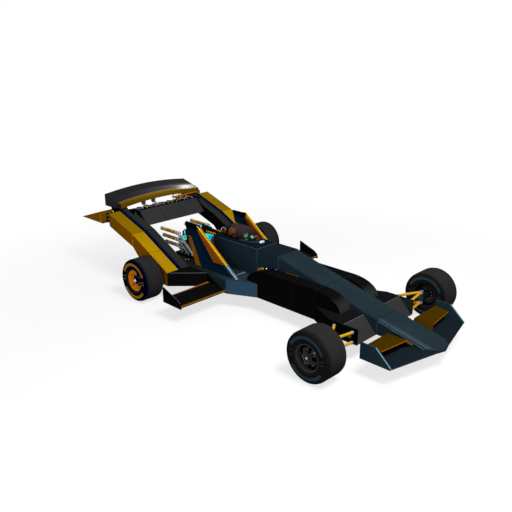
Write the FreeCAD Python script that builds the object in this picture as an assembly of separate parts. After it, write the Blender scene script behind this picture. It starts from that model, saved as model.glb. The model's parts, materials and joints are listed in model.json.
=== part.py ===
import FreeCAD, Part
import math
import os

from FreeCAD import Vector

# Driving dimensions, in millimetres.
# The hull is laid out on a grid: bays along, rows across and tiers up.
wheelbase = 3520.0
wheelbase_bays = 16
overall_width = 3080.0
width_rows = 14
wing_tip_height = 1320.0
wing_tip_tiers = 6
ride_height = 226.6

# Wheels.
tyre_diameter = 673.2
front_tyre_width = 374.0
rear_tyre_width = 343.0
rim_diameter = 356.0
rim_wall = 9.0
rim_lip = 14.0
tyre_shoulder = 48.0
tyre_seat_gap = 0.3
tyre_lip_width = 24.0
hub_radius = 58.0
dish_inset = 66.0
dish_thickness = 12.0
clamp_length = 108.0
clamp_width = 24.0
clamp_thickness = 18.0
wheel_nut_radius = 34.0
wheel_nut_length = 46.0
spindle_radius = 25.0
spindle_fit = 0.05
bearing_gap = 0.3

# Front suspension and steering.
wishbone_length = 400.0
kingpin_gap = 84.0
rod_radius = 19.0
rod_end_radius = 24.0
rod_end_height = 46.0
kingpin_radius = 12.0
kingpin_fit = 0.05
upright_width = 56.0
upright_height = 108.0
upright_collar = 44.0

# Rear axle stubs.
rear_wheel_gap = 59.4
stub_radius = 46.0

# Panels and walls.
panel = 22.0
edge_panel = 30.0
tub_wall = 44.0
glass = 8.0
rim_rise = 22.0
lid_gap = 5.0
lid_frame = 14.0
lid_frame_width = 26.0
hinge_radius = 12.0
hinge_length = 100.0
hinge_pin_radius = 6.0
hinge_fit = 0.05
hinge_ear = 10.0
barrel_radius = 27.0
barrel_gap = 2.0
hoop_width = 30.0
hoop_thickness = 14.0
top_rounding = 30.0

# Pipes.
header_radius = 24.0
tailpipe_radius = 30.0
pipe_wall = 4.0
engine_ball_radius = 78.0
engine_stem_radius = 26.0
engine_strut_radius = 14.0

bay = wheelbase / wheelbase_bays
row = overall_width / width_rows
tier = wing_tip_height / wing_tip_tiers
datum = ride_height - tier
overrun = tier

nose_tip_share = 4.5
tail_tip_share = -25.5
middle_share = (nose_tip_share + tail_tip_share) / 2
front_axle_share = 0
rear_axle_share = -wheelbase_bays

tyre_radius = tyre_diameter / 2
rim_radius = rim_diameter / 2
tub_outer_share = 3
boom_outer_share = 5
liner_outer_share = 4
liner_inner_share = 3
spine_half_share = 1
pod_outer_share = 2
wing_half_share = 4
winglet_outer_share = width_rows / 2

half_track_front = row * tub_outer_share + wishbone_length + kingpin_gap + front_tyre_width / 2
half_track_rear = row * boom_outer_share + rear_wheel_gap + rear_tyre_width / 2
kingpin_across = row * tub_outer_share + wishbone_length

LEFT = 1
RIGHT = -1
SIDES = (("left", LEFT), ("right", RIGHT))
X_AXIS = Vector(1, 0, 0)
Y_AXIS = Vector(0, 1, 0)
Z_AXIS = Vector(0, 0, 1)


def along(share):
    """Distance along the car of a place on the grid."""
    return bay * (share - middle_share)


def across(share):
    """Distance across the car of a place on the grid."""
    return row * share


def up(share):
    """Height of a place on the grid."""
    return datum + tier * share


def face_of(points):
    """Flat face through the points."""
    return Part.Face(Part.makePolygon(points + points[:1]))


def side_prism(side_shares, inner, outer):
    """A side outline on the grid, carried across from inner to outer."""
    points = [Vector(along(x), inner, up(z)) for x, z in side_shares]
    return face_of(points).extrude(Vector(0, outer - inner, 0))


def plan_prism(plan_shares, bottom, top):
    """A plan outline on the grid, raised from bottom to top."""
    points = [Vector(along(x), across(y), bottom) for x, y in plan_shares]
    return face_of(points).extrude(Vector(0, 0, top - bottom))


def block(low, high):
    """A block between two corners."""
    size = high - low
    return Part.makeBox(size.x, size.y, size.z, low)


def rod(start, end, radius):
    """A round rod between two points."""
    path = end - start
    return Part.makeCylinder(radius, path.Length, start, path)


def mirrored(shape):
    """The same piece on the other side of the car."""
    return shape.mirror(Vector(0, 0, 0), Y_AXIS)


def on_side(shape, side):
    """A piece modelled on the left, placed on the given side."""
    if side == LEFT:
        return shape
    return mirrored(shape)


def save(name, *solids):
    """Write the solids of one sub-part."""
    shape = solids[0]
    if len(solids) > 1:
        shape = Part.makeCompound(list(solids))
    shape.exportStep(os.path.join("parts", name + ".step"))


# Hull: spine, nose, cockpit and side panels.
spine_side_shares = ((0.5, 1), (0.5, 2), (-7.5, 4), (-7.5, 1))
nose_side_shares = ((0.5, 1), (4.5, 1), (4.5, 1.14), (0.5, 2))
nose_plan_shares = ((0.5, -1), (3.82, -1), (4.33, -0.57), (4.5, 0), (4.33, 0.57), (3.82, 1), (0.5, 1))
wing_plan_shares = ((1.5, -4), (3.5, -4), (4.45, 0), (3.5, 4), (1.5, 4))
wing_thickness = 24.0


def rounded_top(prism):
    """The prism with its two sloping top edges rounded."""
    edges = []
    for edge in prism.Edges:
        start, end = [vertex.Point for vertex in edge.Vertexes]
        if start.x != end.x and start.z != end.z and start.y == end.y:
            edges.append(edge)
    return prism.makeFillet(top_rounding, edges)


def spine():
    """The long sloping bar between nose and cockpit."""
    half = across(spine_half_share)
    return rounded_top(side_prism(spine_side_shares, -half, half))


def nose_cone():
    """The nose: its top falls to a thin tip that is rounded in plan."""
    half = across(spine_half_share)
    wedge = rounded_top(side_prism(nose_side_shares, -half, half))
    bottom = up(spine_side_shares[0][1])
    nose = wedge.common(plan_prism(nose_plan_shares, bottom, bottom + overrun * 2))
    return nose.cut(front_wing())


def front_wing():
    """The swept plate under the nose."""
    bottom = up(spine_side_shares[0][1])
    return plan_prism(wing_plan_shares, bottom, bottom + wing_thickness)


endplate_side_shares = ((1.5, 1), (1.5, 2), (2.5, 2), (3.5, 1.1), (3.5, 1))


def front_endplate():
    """Upright plate on the tip of the front wing."""
    outer = across(wing_half_share)
    return side_prism(endplate_side_shares, outer, outer + panel)


flap_bend_share = 1.45
flap_tip_share = 3.65
flap_root_shares = (1.6, 1.2, 2.95, 1.2)
flap_bend_shares = (1.53, 1.62, 2.82, 1.62)
flap_tip_shares = (1.71, 1.8, 2.6, 1.68)
flap_thickness = 14.0


def ruled_panel(first_shares, first, second_shares, second, thickness):
    """A flat or slightly twisted panel between two edges that run fore and aft."""
    wires = []
    for shares, place in ((first_shares, first), (second_shares, second)):
        back_x, back_z, front_x, front_z = shares
        points = [Vector(along(back_x), place, up(back_z)),
                  Vector(along(front_x), place, up(front_z)),
                  Vector(along(front_x), place, up(front_z) - thickness),
                  Vector(along(back_x), place, up(back_z) - thickness)]
        wires.append(Part.makePolygon(points + points[:1]))
    return Part.makeLoft(wires, True, True)


def front_flap():
    """The upper flap between nose and endplate, its inner end turned down to the nose."""
    root = across(spine_half_share)
    bend = across(flap_bend_share)
    tip = across(flap_tip_share)
    blade = ruled_panel(flap_bend_shares, bend, flap_tip_shares, tip, flap_thickness)
    turned = ruled_panel(flap_root_shares, root, flap_bend_shares, bend, flap_thickness)
    return blade.fuse(turned).removeSplitter().cut(nose_cone())


tub_plan_shares = ((0.5, 1), (0.5, 3), (-1.5, 3), (-3.5, 2), (-3.5, 1))
tub_slope_shares = ((-0.5, 2), (0.5, 1), (0.5, 2))


def suspension_tub():
    """The box that carries the front suspension, open to the front between its side plates."""
    bottom = up(spine_side_shares[0][1])
    top = up(spine_side_shares[1][1])
    body = plan_prism(tub_plan_shares, bottom, top)
    inner = across(spine_half_share)
    outer = across(tub_outer_share) - panel
    return body.cut(side_prism(tub_slope_shares, inner, outer))


pod_front_shares = (-1.5, -3.5)
pod_back_shares = (-9.5, -7.5)
pod_low_share = 1
pod_mid_share = 2
pod_high_share = 3
pod_deck_share = -8.5


def quarter_ellipse(tip, crown, low, high):
    """Arc that leaves the tip upright and meets the crown level."""
    centre = Vector(crown, 0, low)
    ends = [Vector(tip, 0, low), Vector(crown, 0, high)]
    if high - low > abs(tip - crown):
        ends.reverse()
    curve = Part.Ellipse(ends[0], ends[1], centre)
    return Part.Arc(curve, 0, math.pi / 2).toShape()


def sidepod():
    """The side body between suspension box and cockpit, with its rounded ends."""
    front_tip = along(pod_front_shares[0])
    front_crown = along(pod_front_shares[1])
    back_tip = along(pod_back_shares[0])
    back_crown = along(pod_back_shares[1])
    low = up(pod_low_share)
    mid = up(pod_mid_share)
    high = up(pod_high_share)
    edges = [quarter_ellipse(front_tip, front_crown, mid, high),
             quarter_ellipse(back_tip, back_crown, mid, high)]
    edges.append(Part.makeLine(Vector(front_crown, 0, high), Vector(back_crown, 0, high)))
    deck = along(pod_deck_share)
    corners = [Vector(back_tip, 0, mid), Vector(deck, 0, mid), Vector(deck, 0, low),
               Vector(front_crown, 0, low), Vector(front_crown, 0, mid), Vector(front_tip, 0, mid)]
    for start, end in zip(corners[:-1], corners[1:]):
        edges.append(Part.makeLine(start, end))
    wire = Part.Wire(Part.__sortEdges__(edges))
    face = Part.Face(wire)
    inner = across(spine_half_share)
    outer = across(pod_outer_share)
    pod = face.extrude(Vector(0, outer - inner, 0))
    pod.translate(Vector(0, inner, 0))
    return pod


# Cockpit.
cockpit_front_share = -7.5
cockpit_rim_share = -9.5
coaming_front_share = -10.3
coaming_half_share = 0.7
mouth_back_share = -13.5
cockpit_back_share = -14
cockpit_low_share = 1
cockpit_top_share = 4
well_front_share = -8


def coaming():
    """The raised edge round the cockpit's mouth, its sides sloping inward."""
    base = up(cockpit_top_share)
    half = across(spine_half_share)
    crown = across(coaming_half_share)
    back = along(cockpit_back_share)
    outlines = ((half, along(cockpit_rim_share), base), (crown, along(coaming_front_share), base + rim_rise))
    wires = []
    for reach, front, height in outlines:
        points = [Vector(back, -reach, height), Vector(front, -reach, height),
                  Vector(front, reach, height), Vector(back, reach, height)]
        wires.append(Part.makePolygon(points + points[:1]))
    return Part.makeLoft(wires, True, True)


def cockpit_mouth(bottom, top):
    """The space of the cockpit's mouth: round in front under the canopy, straight behind it."""
    points = canopy_outline(lid_frame_width)
    half = points[-1].y
    front = canopy_ring_face(points, [Vector(point.x, 0, 0) for point in (points[0], points[-1])])
    front = front.extrude(Vector(0, 0, top - bottom))
    front = front.fuse(mirrored(front))
    front.translate(Vector(0, 0, bottom))
    rear = block(Vector(along(mouth_back_share), -half, bottom), Vector(points[-1].x, half, top))
    return front.fuse(rear).removeSplitter()


def cockpit_tub():
    """The open cockpit: a walled well with a footwell under the scuttle."""
    half = across(spine_half_share)
    low = up(cockpit_low_share)
    top = up(cockpit_top_share)
    body = block(Vector(along(cockpit_back_share), -half, low),
                 Vector(along(cockpit_front_share), half, top))
    body = body.fuse(coaming()).removeSplitter()
    back = along(cockpit_back_share) + tub_wall
    front = along(well_front_share)
    well = block(Vector(back, tub_wall - half, low + tub_wall),
                 Vector(front, half - tub_wall, top - tub_wall))
    body = body.cut(well).cut(cockpit_mouth(low + tub_wall, top + overrun))
    centre = hinge_place()
    start = Vector(centre.x, -hinge_length / 2 - lid_gap, centre.z)
    recess = Part.makeCylinder(barrel_radius + lid_gap, hinge_length + lid_gap * 2, start, Y_AXIS)
    return body.cut(recess).fuse(hinge_ears()).removeSplitter()


def hinge_place():
    """Centre of the canopy hinge, just ahead of the canopy's front end."""
    return Vector(along(canopy_tip_share) + barrel_radius + barrel_gap, 0,
                  up(cockpit_top_share) + rim_rise + lid_gap + lid_frame / 2)


def hinge_ears():
    """Two ears on the scuttle with the pin between them."""
    centre = hinge_place()
    start = centre.y - hinge_length / 2 - bearing_gap - hinge_ear
    length = hinge_length + bearing_gap * 2 + hinge_ear * 2
    pin = Part.makeCylinder(hinge_pin_radius, length, Vector(centre.x, start, centre.z), Y_AXIS)
    shape = pin
    foot = up(cockpit_top_share)
    for side in (LEFT, RIGHT):
        inner = side * (hinge_length / 2 + bearing_gap)
        outer = inner + side * hinge_ear
        low = min(inner, outer)
        ear = block(Vector(centre.x - hinge_radius, low, foot),
                    Vector(centre.x + hinge_radius, low + hinge_ear, centre.z))
        eye = Part.makeCylinder(hinge_radius, hinge_ear, Vector(centre.x, low, centre.z), Y_AXIS)
        shape = shape.fuse(ear).fuse(eye)
    return shape.removeSplitter()


canopy_tip_share = -10.15
canopy_wide_share = -12.1
canopy_back_share = -12.85
canopy_tail_share = -13.8
canopy_half_share = 0.7
canopy_skirt_share = 0.14
canopy_front_count = 9
canopy_back_count = 3


def canopy_outline(inset):
    """Half plan of the canopy from its tip to its back: two quarter ellipses that meet where it is widest."""
    half = across(canopy_half_share) - inset
    wide = along(canopy_wide_share)
    reach = along(canopy_tip_share) - inset - wide
    tail = wide - along(canopy_tail_share)
    points = []
    for number in range(canopy_front_count + 1):
        angle = math.pi / 2 / canopy_front_count * number
        points.append(Vector(wide + reach * math.cos(angle), half * math.sin(angle), 0))
    for number in range(canopy_back_count):
        back = (wide - along(canopy_back_share)) / canopy_back_count * (number + 1)
        points.append(Vector(wide - back, half * math.sqrt(1 - (back / tail) ** 2), 0))
    return points


def canopy_ring_face(outer, inner):
    """The flat face between two half outlines that run from front to back."""
    return face_of(outer + inner[::-1])


def canopy_half_face(inner_inset):
    """The half ring between the canopy's outline and one inside it."""
    return canopy_ring_face(canopy_outline(0), canopy_outline(inner_inset))


def canopy_glass():
    """The bubble: the half outline turned over the cockpit, on a low upright skirt."""
    face = canopy_half_face(glass)
    skirt_height = tier * canopy_skirt_share
    dome = face.revolve(Vector(0, 0, 0), X_AXIS, 180)
    dome.translate(Vector(0, 0, skirt_height))
    skirt = face.extrude(Vector(0, 0, skirt_height))
    shell = dome.fuse(skirt).fuse(mirrored(skirt)).removeSplitter()
    shell.translate(Vector(0, 0, up(cockpit_top_share) + rim_rise + lid_gap + lid_frame))
    return shell


barrel_end_share = 0.5
barrel_band_count = 6


def hinge_barrel():
    """The bright barrel of the canopy hinge, thicker in the middle."""
    centre = hinge_place()
    half = hinge_length / 2
    points = [Vector(0, -half, 0)]
    for number in range(barrel_band_count + 1):
        place = hinge_length / barrel_band_count * number - half
        bulge = math.sqrt(1 - (place / half) ** 2)
        radius = barrel_radius * (barrel_end_share + (1 - barrel_end_share) * bulge)
        points.append(Vector(radius, place, 0))
    points.append(Vector(0, half, 0))
    barrel = face_of(points).revolve(Vector(0, 0, 0), Y_AXIS, 360)
    barrel.translate(centre)
    return barrel


def canopy_frame():
    """The frame under the bubble with the hinge barrel at its front end."""
    half_ring = canopy_half_face(lid_frame_width).extrude(Vector(0, 0, lid_frame))
    back = canopy_outline(lid_frame_width)[-1]
    reach = back.y + lid_frame_width / 2
    bar = block(Vector(back.x, -reach, 0), Vector(back.x + lid_frame, reach, lid_frame))
    ring = half_ring.fuse(mirrored(half_ring)).fuse(bar).removeSplitter()
    base = up(cockpit_top_share) + rim_rise + lid_gap
    ring.translate(Vector(0, 0, base))
    centre = hinge_place()
    start = Vector(centre.x, -hinge_length / 2, centre.z)
    tongue = block(Vector(along(canopy_tip_share) - lid_frame_width, -lid_frame_width, base),
                   Vector(centre.x, lid_frame_width, base + lid_frame))
    bore = Part.makeCylinder(hinge_pin_radius + hinge_fit, hinge_length, start, Y_AXIS)
    return ring.fuse(tongue).fuse(hinge_barrel()).cut(bore).removeSplitter()


hoop_height_share = 4.2
hoop_outer_share = 0.69
fairing_front_share = 0.65
fairing_back_share = 0.31


def hoop_back():
    """Place along the car of the roll hoop's rear face."""
    return along(canopy_back_share) - lid_gap - hoop_width


def above_coaming(shape):
    """The part of a shape that stands above the coaming."""
    top = up(cockpit_top_share) + rim_rise
    centre = shape.BoundBox.Center
    below = block(Vector(centre.x - wheelbase, -overall_width, top - overall_width),
                  Vector(centre.x + wheelbase, overall_width, top))
    return shape.cut(below)


def canopy_hoop():
    """The flat roll hoop behind the canopy, standing on the coaming."""
    radius = across(hoop_outer_share)
    start = Vector(hoop_back(), 0, up(hoop_height_share))
    arch = Part.makeCylinder(radius, hoop_width, start, X_AXIS)
    arch = arch.cut(Part.makeCylinder(radius - hoop_thickness, hoop_width, start, X_AXIS))
    return above_coaming(arch)


def rear_fairing():
    """The tapered glass cover behind the roll hoop, open at its narrow end."""
    front = across(fairing_front_share)
    back = across(fairing_back_share)
    length = hoop_back() - along(cockpit_back_share)
    start = Vector(along(cockpit_back_share), 0, up(cockpit_top_share) + rim_rise)
    cone = Part.makeCone(back, front, length, start, X_AXIS)
    cone = cone.cut(Part.makeCone(back - glass, front - glass, length, start, X_AXIS))
    return above_coaming(cone)


seat_side_shares = ((-11, 1.75), (-12.4, 1.6), (-13.1, 3.5))
seat_side_gap = 20.0
headrest_side_shares = ((-13.1, 3.5), (-13.04, 4.5), (-13.3, 4.5), (-13.45, 3.5))
headrest_front_shares = ((-0.34, 3.5), (-0.34, 4.3), (-0.2, 4.55), (0.2, 4.55), (0.34, 4.3), (0.34, 3.5))


def headrest():
    """The padded rest behind the driver's head, its upper corners cut off."""
    edge = across(headrest_front_shares[-1][0])
    blade = side_prism(headrest_side_shares, -edge, edge)
    points = [Vector(0, across(y), up(z)) for y, z in headrest_front_shares]
    outline = face_of(points).extrude(Vector(wheelbase, 0, 0))
    outline.translate(Vector(along(cockpit_back_share), 0, 0))
    return blade.common(outline)


def seat():
    """The reclined seat on the floor of the well, its back against the rear wall, with the headrest on top."""
    half = across(spine_half_share) - tub_wall - seat_side_gap
    floor = up(cockpit_low_share) + tub_wall
    back = along(cockpit_back_share) + tub_wall
    points = [Vector(along(x), -half, up(z)) for x, z in seat_side_shares]
    points.append(Vector(back, -half, points[-1].z))
    points.append(Vector(back, -half, floor))
    points.append(Vector(points[0].x, -half, floor))
    shell = face_of(points).extrude(Vector(0, half * 2, 0))
    return shell.fuse(headrest()).removeSplitter()


dash_side_shares = ((-10.9, 3.1), (-10.7, 3.1), (-10.7, 3.75), (-10.9, 3.75))
pod_side_shares = ((-11, 3.7), (-10.72, 3.7), (-10.72, 4.2), (-11, 4.46))
pod_half_share = 0.24
column_radius = 16.0
column_start_shares = (-10.9, 3.5)
column_slope_share = 0.2
wheel_place_share = -11.45
grip_radius = 14.0
grip_arm_radius = 9.0
grip_half = 88.0
grip_height = 50.0
steering_hub_radius = 34.0
steering_hub_depth = 30.0


def column_direction():
    """Direction of the steering column, from dashboard to driver."""
    direction = Vector(-bay, 0, tier * column_slope_share)
    return direction.normalize()


def column_foot():
    """Where the column leaves the dashboard."""
    return Vector(along(column_start_shares[0]), 0, up(column_start_shares[1]))


def wheel_centre():
    """Centre of the steering wheel."""
    reach = along(column_start_shares[0]) - along(wheel_place_share)
    return column_foot() + column_direction() * reach


def dashboard():
    """The instrument panel across the well, with the raised instrument pod and the steering column."""
    half = across(spine_half_share) - tub_wall
    board = side_prism(dash_side_shares, -half, half)
    pod = side_prism(pod_side_shares, -across(pod_half_share), across(pod_half_share))
    tip = wheel_centre() - column_direction() * (steering_hub_depth / 2 + bearing_gap)
    start = column_foot() + column_direction() * -panel
    column = rod(start, tip, column_radius)
    return board.fuse(pod).fuse(column).removeSplitter()


def steering_wheel():
    """A butterfly wheel: a hub, two arms and two grips."""
    centre = wheel_centre()
    axis = column_direction()
    hub = Part.makeCylinder(steering_hub_radius, steering_hub_depth,
                            centre - axis * (steering_hub_depth / 2), axis)
    rise = axis.cross(Y_AXIS)
    if rise.z < 0:
        rise = rise * -1
    shape = hub
    for side in (LEFT, RIGHT):
        hand = centre + Y_AXIS * (side * grip_half)
        shape = shape.fuse(rod(centre, hand, grip_arm_radius))
        shape = shape.fuse(rod(hand - rise * grip_height, hand + rise * grip_height, grip_radius))
    return shape.removeSplitter()


# Rear deck, fins and engine.
deck_plan_shares = ((-8.5, 1), (-8.5, 2), (-10.5, 3), (-17, 3), (-17, -3), (-10.5, -3), (-8.5, -2), (-8.5, -1),
                    (-14, -1), (-14, 1))
deck_low_share = 1
deck_high_share = 2
wedge_side_shares = ((-12.5, 2), (-12.5, 1), (-10.5, 1))
wedge_inner_share = 2


def side_wedge():
    """The dark wedge low in the flank of the deck."""
    return side_prism(wedge_side_shares, across(wedge_inner_share), across(liner_inner_share))


def rear_deck():
    """The flat deck round the cockpit, from the shoulders back to the engine bay."""
    deck = plan_prism(deck_plan_shares, up(deck_low_share), up(deck_high_share))
    return deck.cut(side_wedge()).cut(mirrored(side_wedge()))


box_plan_shares = ((-14.5, 3), (-14.5, 5), (-12.5, 3))


def side_box():
    """The dark box between deck and boom, with the wedge ahead of it."""
    box = plan_prism(box_plan_shares, up(deck_low_share), up(deck_high_share))
    return box.fuse(side_wedge()).removeSplitter()


fin_side_shares = ((-15.5, 5), (-14.43, 5), (-10.4, 2), (-14.4, 2))
fin_inner_share = 2.25
fin_outer_share = 2.5
fin_bar_shares = ((-14.43, 5), (-14.1, 5), (-10.05, 2), (-10.4, 2))


def fin():
    """The upright fin beside the engine, with its thicker leading edge."""
    inner = across(fin_inner_share)
    outer = across(fin_outer_share)
    blade = side_prism(fin_side_shares, inner + (outer - inner) / 4, outer - (outer - inner) / 4)
    bar = side_prism(fin_bar_shares, inner, outer)
    return blade.fuse(bar).removeSplitter()


engine_base_shares = ((-17.45, 1.6), (-17.45, 2.17), (-14.2, 2.17), (-14.2, 2), (-17, 2), (-17, 1.6))
engine_base_half_share = 1.85
engine_body_shares = ((-17.7, 2.1), (-17.7, 3.5), (-17.45, 3.72), (-16.35, 3.72), (-16.35, 2.1))
engine_half_share = 0.95
engine_cover_shares = ((-18.4, 0.15), (-15.6, 0.5), (-14.65, 0.08))
engine_cover_height_shares = (3.7, 3.8, 4.02)
engine_ball_shares = (-15.87, 3.27)
engine_strut_shares = ((-15.8, 3.84), (-14, 3.84))
engine_strut_place_share = 0.34


def engine_cover():
    """The ridged cover over the engine, narrow behind and pointed in front."""
    low, eave, ridge = [up(share) for share in engine_cover_height_shares]
    wires = []
    for place_share, half_share in engine_cover_shares:
        place = along(place_share)
        half = across(half_share)
        points = [Vector(place, -half, low), Vector(place, half, low), Vector(place, half, eave),
                  Vector(place, 0, ridge), Vector(place, -half, eave)]
        wires.append(Part.makePolygon(points + points[:1]))
    return Part.makeLoft(wires, True, True)


def engine_block():
    """The engine behind the cockpit, with its base, its cover and the round housing ahead of it."""
    half = across(engine_half_share)
    foot = across(engine_base_half_share)
    shape = side_prism(engine_base_shares, -foot, foot)
    shape = shape.fuse(side_prism(engine_body_shares, -half, half)).fuse(engine_cover())
    centre = Vector(along(engine_ball_shares[0]), 0, up(engine_ball_shares[1]))
    base = Vector(centre.x, 0, up(deck_high_share))
    body = Vector(along(engine_body_shares[-1][0]), 0, centre.z)
    shape = shape.fuse(rod(base, centre, engine_stem_radius)).fuse(rod(body, centre, engine_stem_radius))
    shape = shape.fuse(Part.makeSphere(engine_ball_radius, centre))
    start, end = [Vector(along(x), 0, up(z)) for x, z in engine_strut_shares]
    for side in (LEFT, RIGHT):
        place = Y_AXIS * (side * across(engine_strut_place_share))
        shape = shape.fuse(rod(start + place, end + place, engine_strut_radius))
    return shape.removeSplitter()


pipe_tip_shares = ((-19.59, 3.5), (-19.38, 3), (-19.13, 2.52))
pipe_elbow_shares = ((-17.49, 3.51), (-17.5, 3), (-17.5, 2.52))
pipe_foot_shares = (-15.85, -16.45, -17.03)
pipe_place_share = 1.5


def exhaust():
    """Three pipes: each rises from the engine's base to an elbow and runs straight back from it."""
    place = across(pipe_place_share)
    foot_height = up(engine_base_shares[1][1])
    pipes = []
    for tip_shares, elbow_shares, foot_share in zip(pipe_tip_shares, pipe_elbow_shares, pipe_foot_shares):
        tip = Vector(along(tip_shares[0]), place, up(tip_shares[1]))
        elbow = Vector(along(elbow_shares[0]), place, up(elbow_shares[1]))
        foot = Vector(along(foot_share), place, foot_height)
        below = foot + (foot - elbow).normalize() * header_radius
        forward = (elbow - tip).normalize() * tailpipe_radius
        pipe = rod(below, elbow, header_radius).fuse(rod(elbow + forward, tip, tailpipe_radius))
        mouth = tip + forward
        pipe = pipe.cut(rod(mouth, tip, tailpipe_radius - pipe_wall))
        pipes.append(pipe.cut(engine_block()).removeSplitter())
    return pipes


# Booms, rear panel and rear wing.
boom_side_shares = ((-21.5, 5), (-18.5, 4), (-14.5, 2), (-14.5, 1), (-16.5, 1), (-18.5, 3), (-21.5, 4))
link_side_shares = ((-21.5, 4.05), (-21.5, 4.75), (-22.5, 4.75), (-22.5, 4.05))
link_inner_share = 4.1
link_outer_share = 4.6


def boom():
    """The outer boom that rises from the deck to the tail."""
    return side_prism(boom_side_shares, across(liner_outer_share), across(boom_outer_share))


stay_side_shares = ((-21.5, 4), (-21.5, 4.9), (-21.9, 5.25), (-22.9, 5.25), (-22.9, 4.9))
stay_inner_share = 3.15
stay_outer_share = 3.85


def boom_liner():
    """The inner boom with the stay that carries the rear wing and the tail wedge's link."""
    bar = side_prism(boom_side_shares, across(liner_inner_share), across(liner_outer_share))
    stay = side_prism(stay_side_shares, across(stay_inner_share), across(stay_outer_share))
    stay = stay.cut(wing_body())
    link = side_prism(link_side_shares, across(stay_outer_share), across(link_outer_share))
    return bar.fuse(stay).fuse(link).removeSplitter()


panel_side_shares = ((-21, 5), (-20.5, 5), (-19.5, 4), (-20, 4))
grille_side_shares = ((-21, 4.9), (-20.75, 4.9), (-20.75, 5), (-21, 5))
grille_slot_share = 0.16
grille_slot_count = 15


def rear_panel():
    """The sloping panel between the booms, slotted along its upper rear edge."""
    half = across(liner_inner_share)
    shape = side_prism(panel_side_shares, -half, half)
    pitch = half * 2 / grille_slot_count
    slot = across(grille_slot_share)
    for number in range(grille_slot_count):
        middle = pitch * (number + 1 / 2) - half
        shape = shape.cut(side_prism(grille_side_shares, middle - slot / 2, middle + slot / 2))
    return shape


wing_side_shares = ((-23.5, 5.1), (-23.5, 6), (-21.5, 5.5), (-21.5, 5.12))
wing_rise_share = 0.3
lip_back_share = -21.85


def wing_body():
    """The whole rear wing: its section turned about a far axis below, so that it bows upward."""
    half = across(wing_half_share)
    length = along(wing_side_shares[2][0]) - along(wing_side_shares[0][0])
    sag = tier * wing_rise_share
    radius = (half * half + sag * sag) / (sag * 2)
    angle = math.degrees(math.asin(half / radius))
    section = [Vector(along(x), 0, up(z) + sag) for x, z in wing_side_shares]
    axis_height = up(wing_side_shares[0][1]) + sag - radius
    face = face_of(section)
    spread = angle * 2
    face.rotate(Vector(0, 0, axis_height), X_AXIS, -spread / 2)
    bowed = face.revolve(Vector(0, 0, axis_height), X_AXIS, spread)
    start = Vector(along(wing_side_shares[0][0]), -half, up(0))
    return bowed.common(Part.makeBox(length, half * 2, wing_tip_height * 2, start))


def lip_space():
    """The space along the front edge of the wing between its end caps."""
    half = across(wing_half_share) - edge_panel
    return block(Vector(along(lip_back_share), -half, up(wing_side_shares[0][1])),
                 Vector(along(wing_side_shares[2][0]) + overrun, half, up(wing_side_shares[1][1]) + overrun))


def rear_wing():
    """The dark wing with its end caps."""
    return wing_body().cut(lip_space())


def rear_wing_lip():
    """The bright strip along the front edge of the wing."""
    return wing_body().common(lip_space())


tail_side_shares = ((-25.5, 4), (-22.5, 5), (-22.5, 4))


def tail_wedge():
    """The pointed wedge behind the boom."""
    return side_prism(tail_side_shares, across(liner_outer_share), across(boom_outer_share))


# Winglets beside the deck.
winglet_plan_shares = ((-10.5, 3), (-10.5, 7), (-12.4, 7), (-12.4, 5), (-12.5, 3))
winglet_height_shares = (1.16, 1.28)
winglet_plate_shares = ((-10.55, 1.05), (-10.57, 1.13), (-10.66, 1.39), (-10.98, 1.61), (-11.57, 1.8), (-12.4, 2.1),
                        (-12.4, 1.05))
winglet_thickness = 16.0


def winglet():
    """The low side wing, its rear edge a little higher, with its end plate."""
    outer = across(winglet_outer_share)
    front = winglet_plan_shares[0][0]
    length = front - min(x for x, y in winglet_plan_shares)
    low, high = winglet_height_shares
    points = [Vector(along(x), min(across(y), outer - panel), up(low + (high - low) * (front - x) / length))
              for x, y in winglet_plan_shares]
    plate = face_of(points).extrude(Vector(0, 0, winglet_thickness))
    end = side_prism(winglet_plate_shares, outer - panel, outer)
    return plate.fuse(end).removeSplitter()


# Front suspension and wheels.
wishbone_foot_shares = (0.22, -1.15)
wishbone_upper_share = 1.76
wishbone_lower_share = 1.13


def ball_offset():
    """Height of a wishbone's eye above or below the axle."""
    return upright_height / 2 + rod_end_height / 2


def wishbones():
    """Upper and lower wishbones: two legs each from the suspension box to an eye on the kingpin."""
    inner = across(tub_outer_share)
    axle = along(front_axle_share)
    behind = block(Vector(axle - wheelbase, 0, 0), Vector(axle + wheelbase, inner, wheelbase))
    arms = []
    for direction, height_share in ((1, wishbone_upper_share), (-1, wishbone_lower_share)):
        ball = Vector(axle, kingpin_across, tyre_radius + direction * ball_offset())
        low = ball - Z_AXIS * (rod_end_height / 2)
        arm = Part.makeCylinder(rod_end_radius, rod_end_height, low, Z_AXIS)
        for foot_share in wishbone_foot_shares:
            foot = Vector(along(foot_share), inner, up(height_share))
            beyond = foot + (foot - ball).normalize() * rod_radius
            arm = arm.fuse(rod(beyond, ball, rod_radius))
        bore = Part.makeCylinder(kingpin_radius + kingpin_fit, rod_end_height, low, Z_AXIS)
        arms.append(arm.cut(bore).cut(behind).removeSplitter())
    return arms


def knuckle():
    """The steered upright on its kingpin, with the collar and spindle that carry the wheel."""
    centre = Vector(along(front_axle_share), kingpin_across, tyre_radius)
    half = upright_height / 2 - bearing_gap
    body = Part.makeCylinder(upright_width / 2, half * 2, centre - Z_AXIS * half, Z_AXIS)
    pin_half = ball_offset() + rod_end_height / 2
    pin = Part.makeCylinder(kingpin_radius, pin_half * 2, centre - Z_AXIS * pin_half, Z_AXIS)
    collar = Part.makeCylinder(upright_collar, kingpin_gap - bearing_gap, centre, Y_AXIS)
    spindle = Part.makeCylinder(spindle_radius, half_track_front - kingpin_across, centre, Y_AXIS)
    return body.fuse(pin).fuse(collar).fuse(spindle).removeSplitter()


shoulder_band_count = 3


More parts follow.
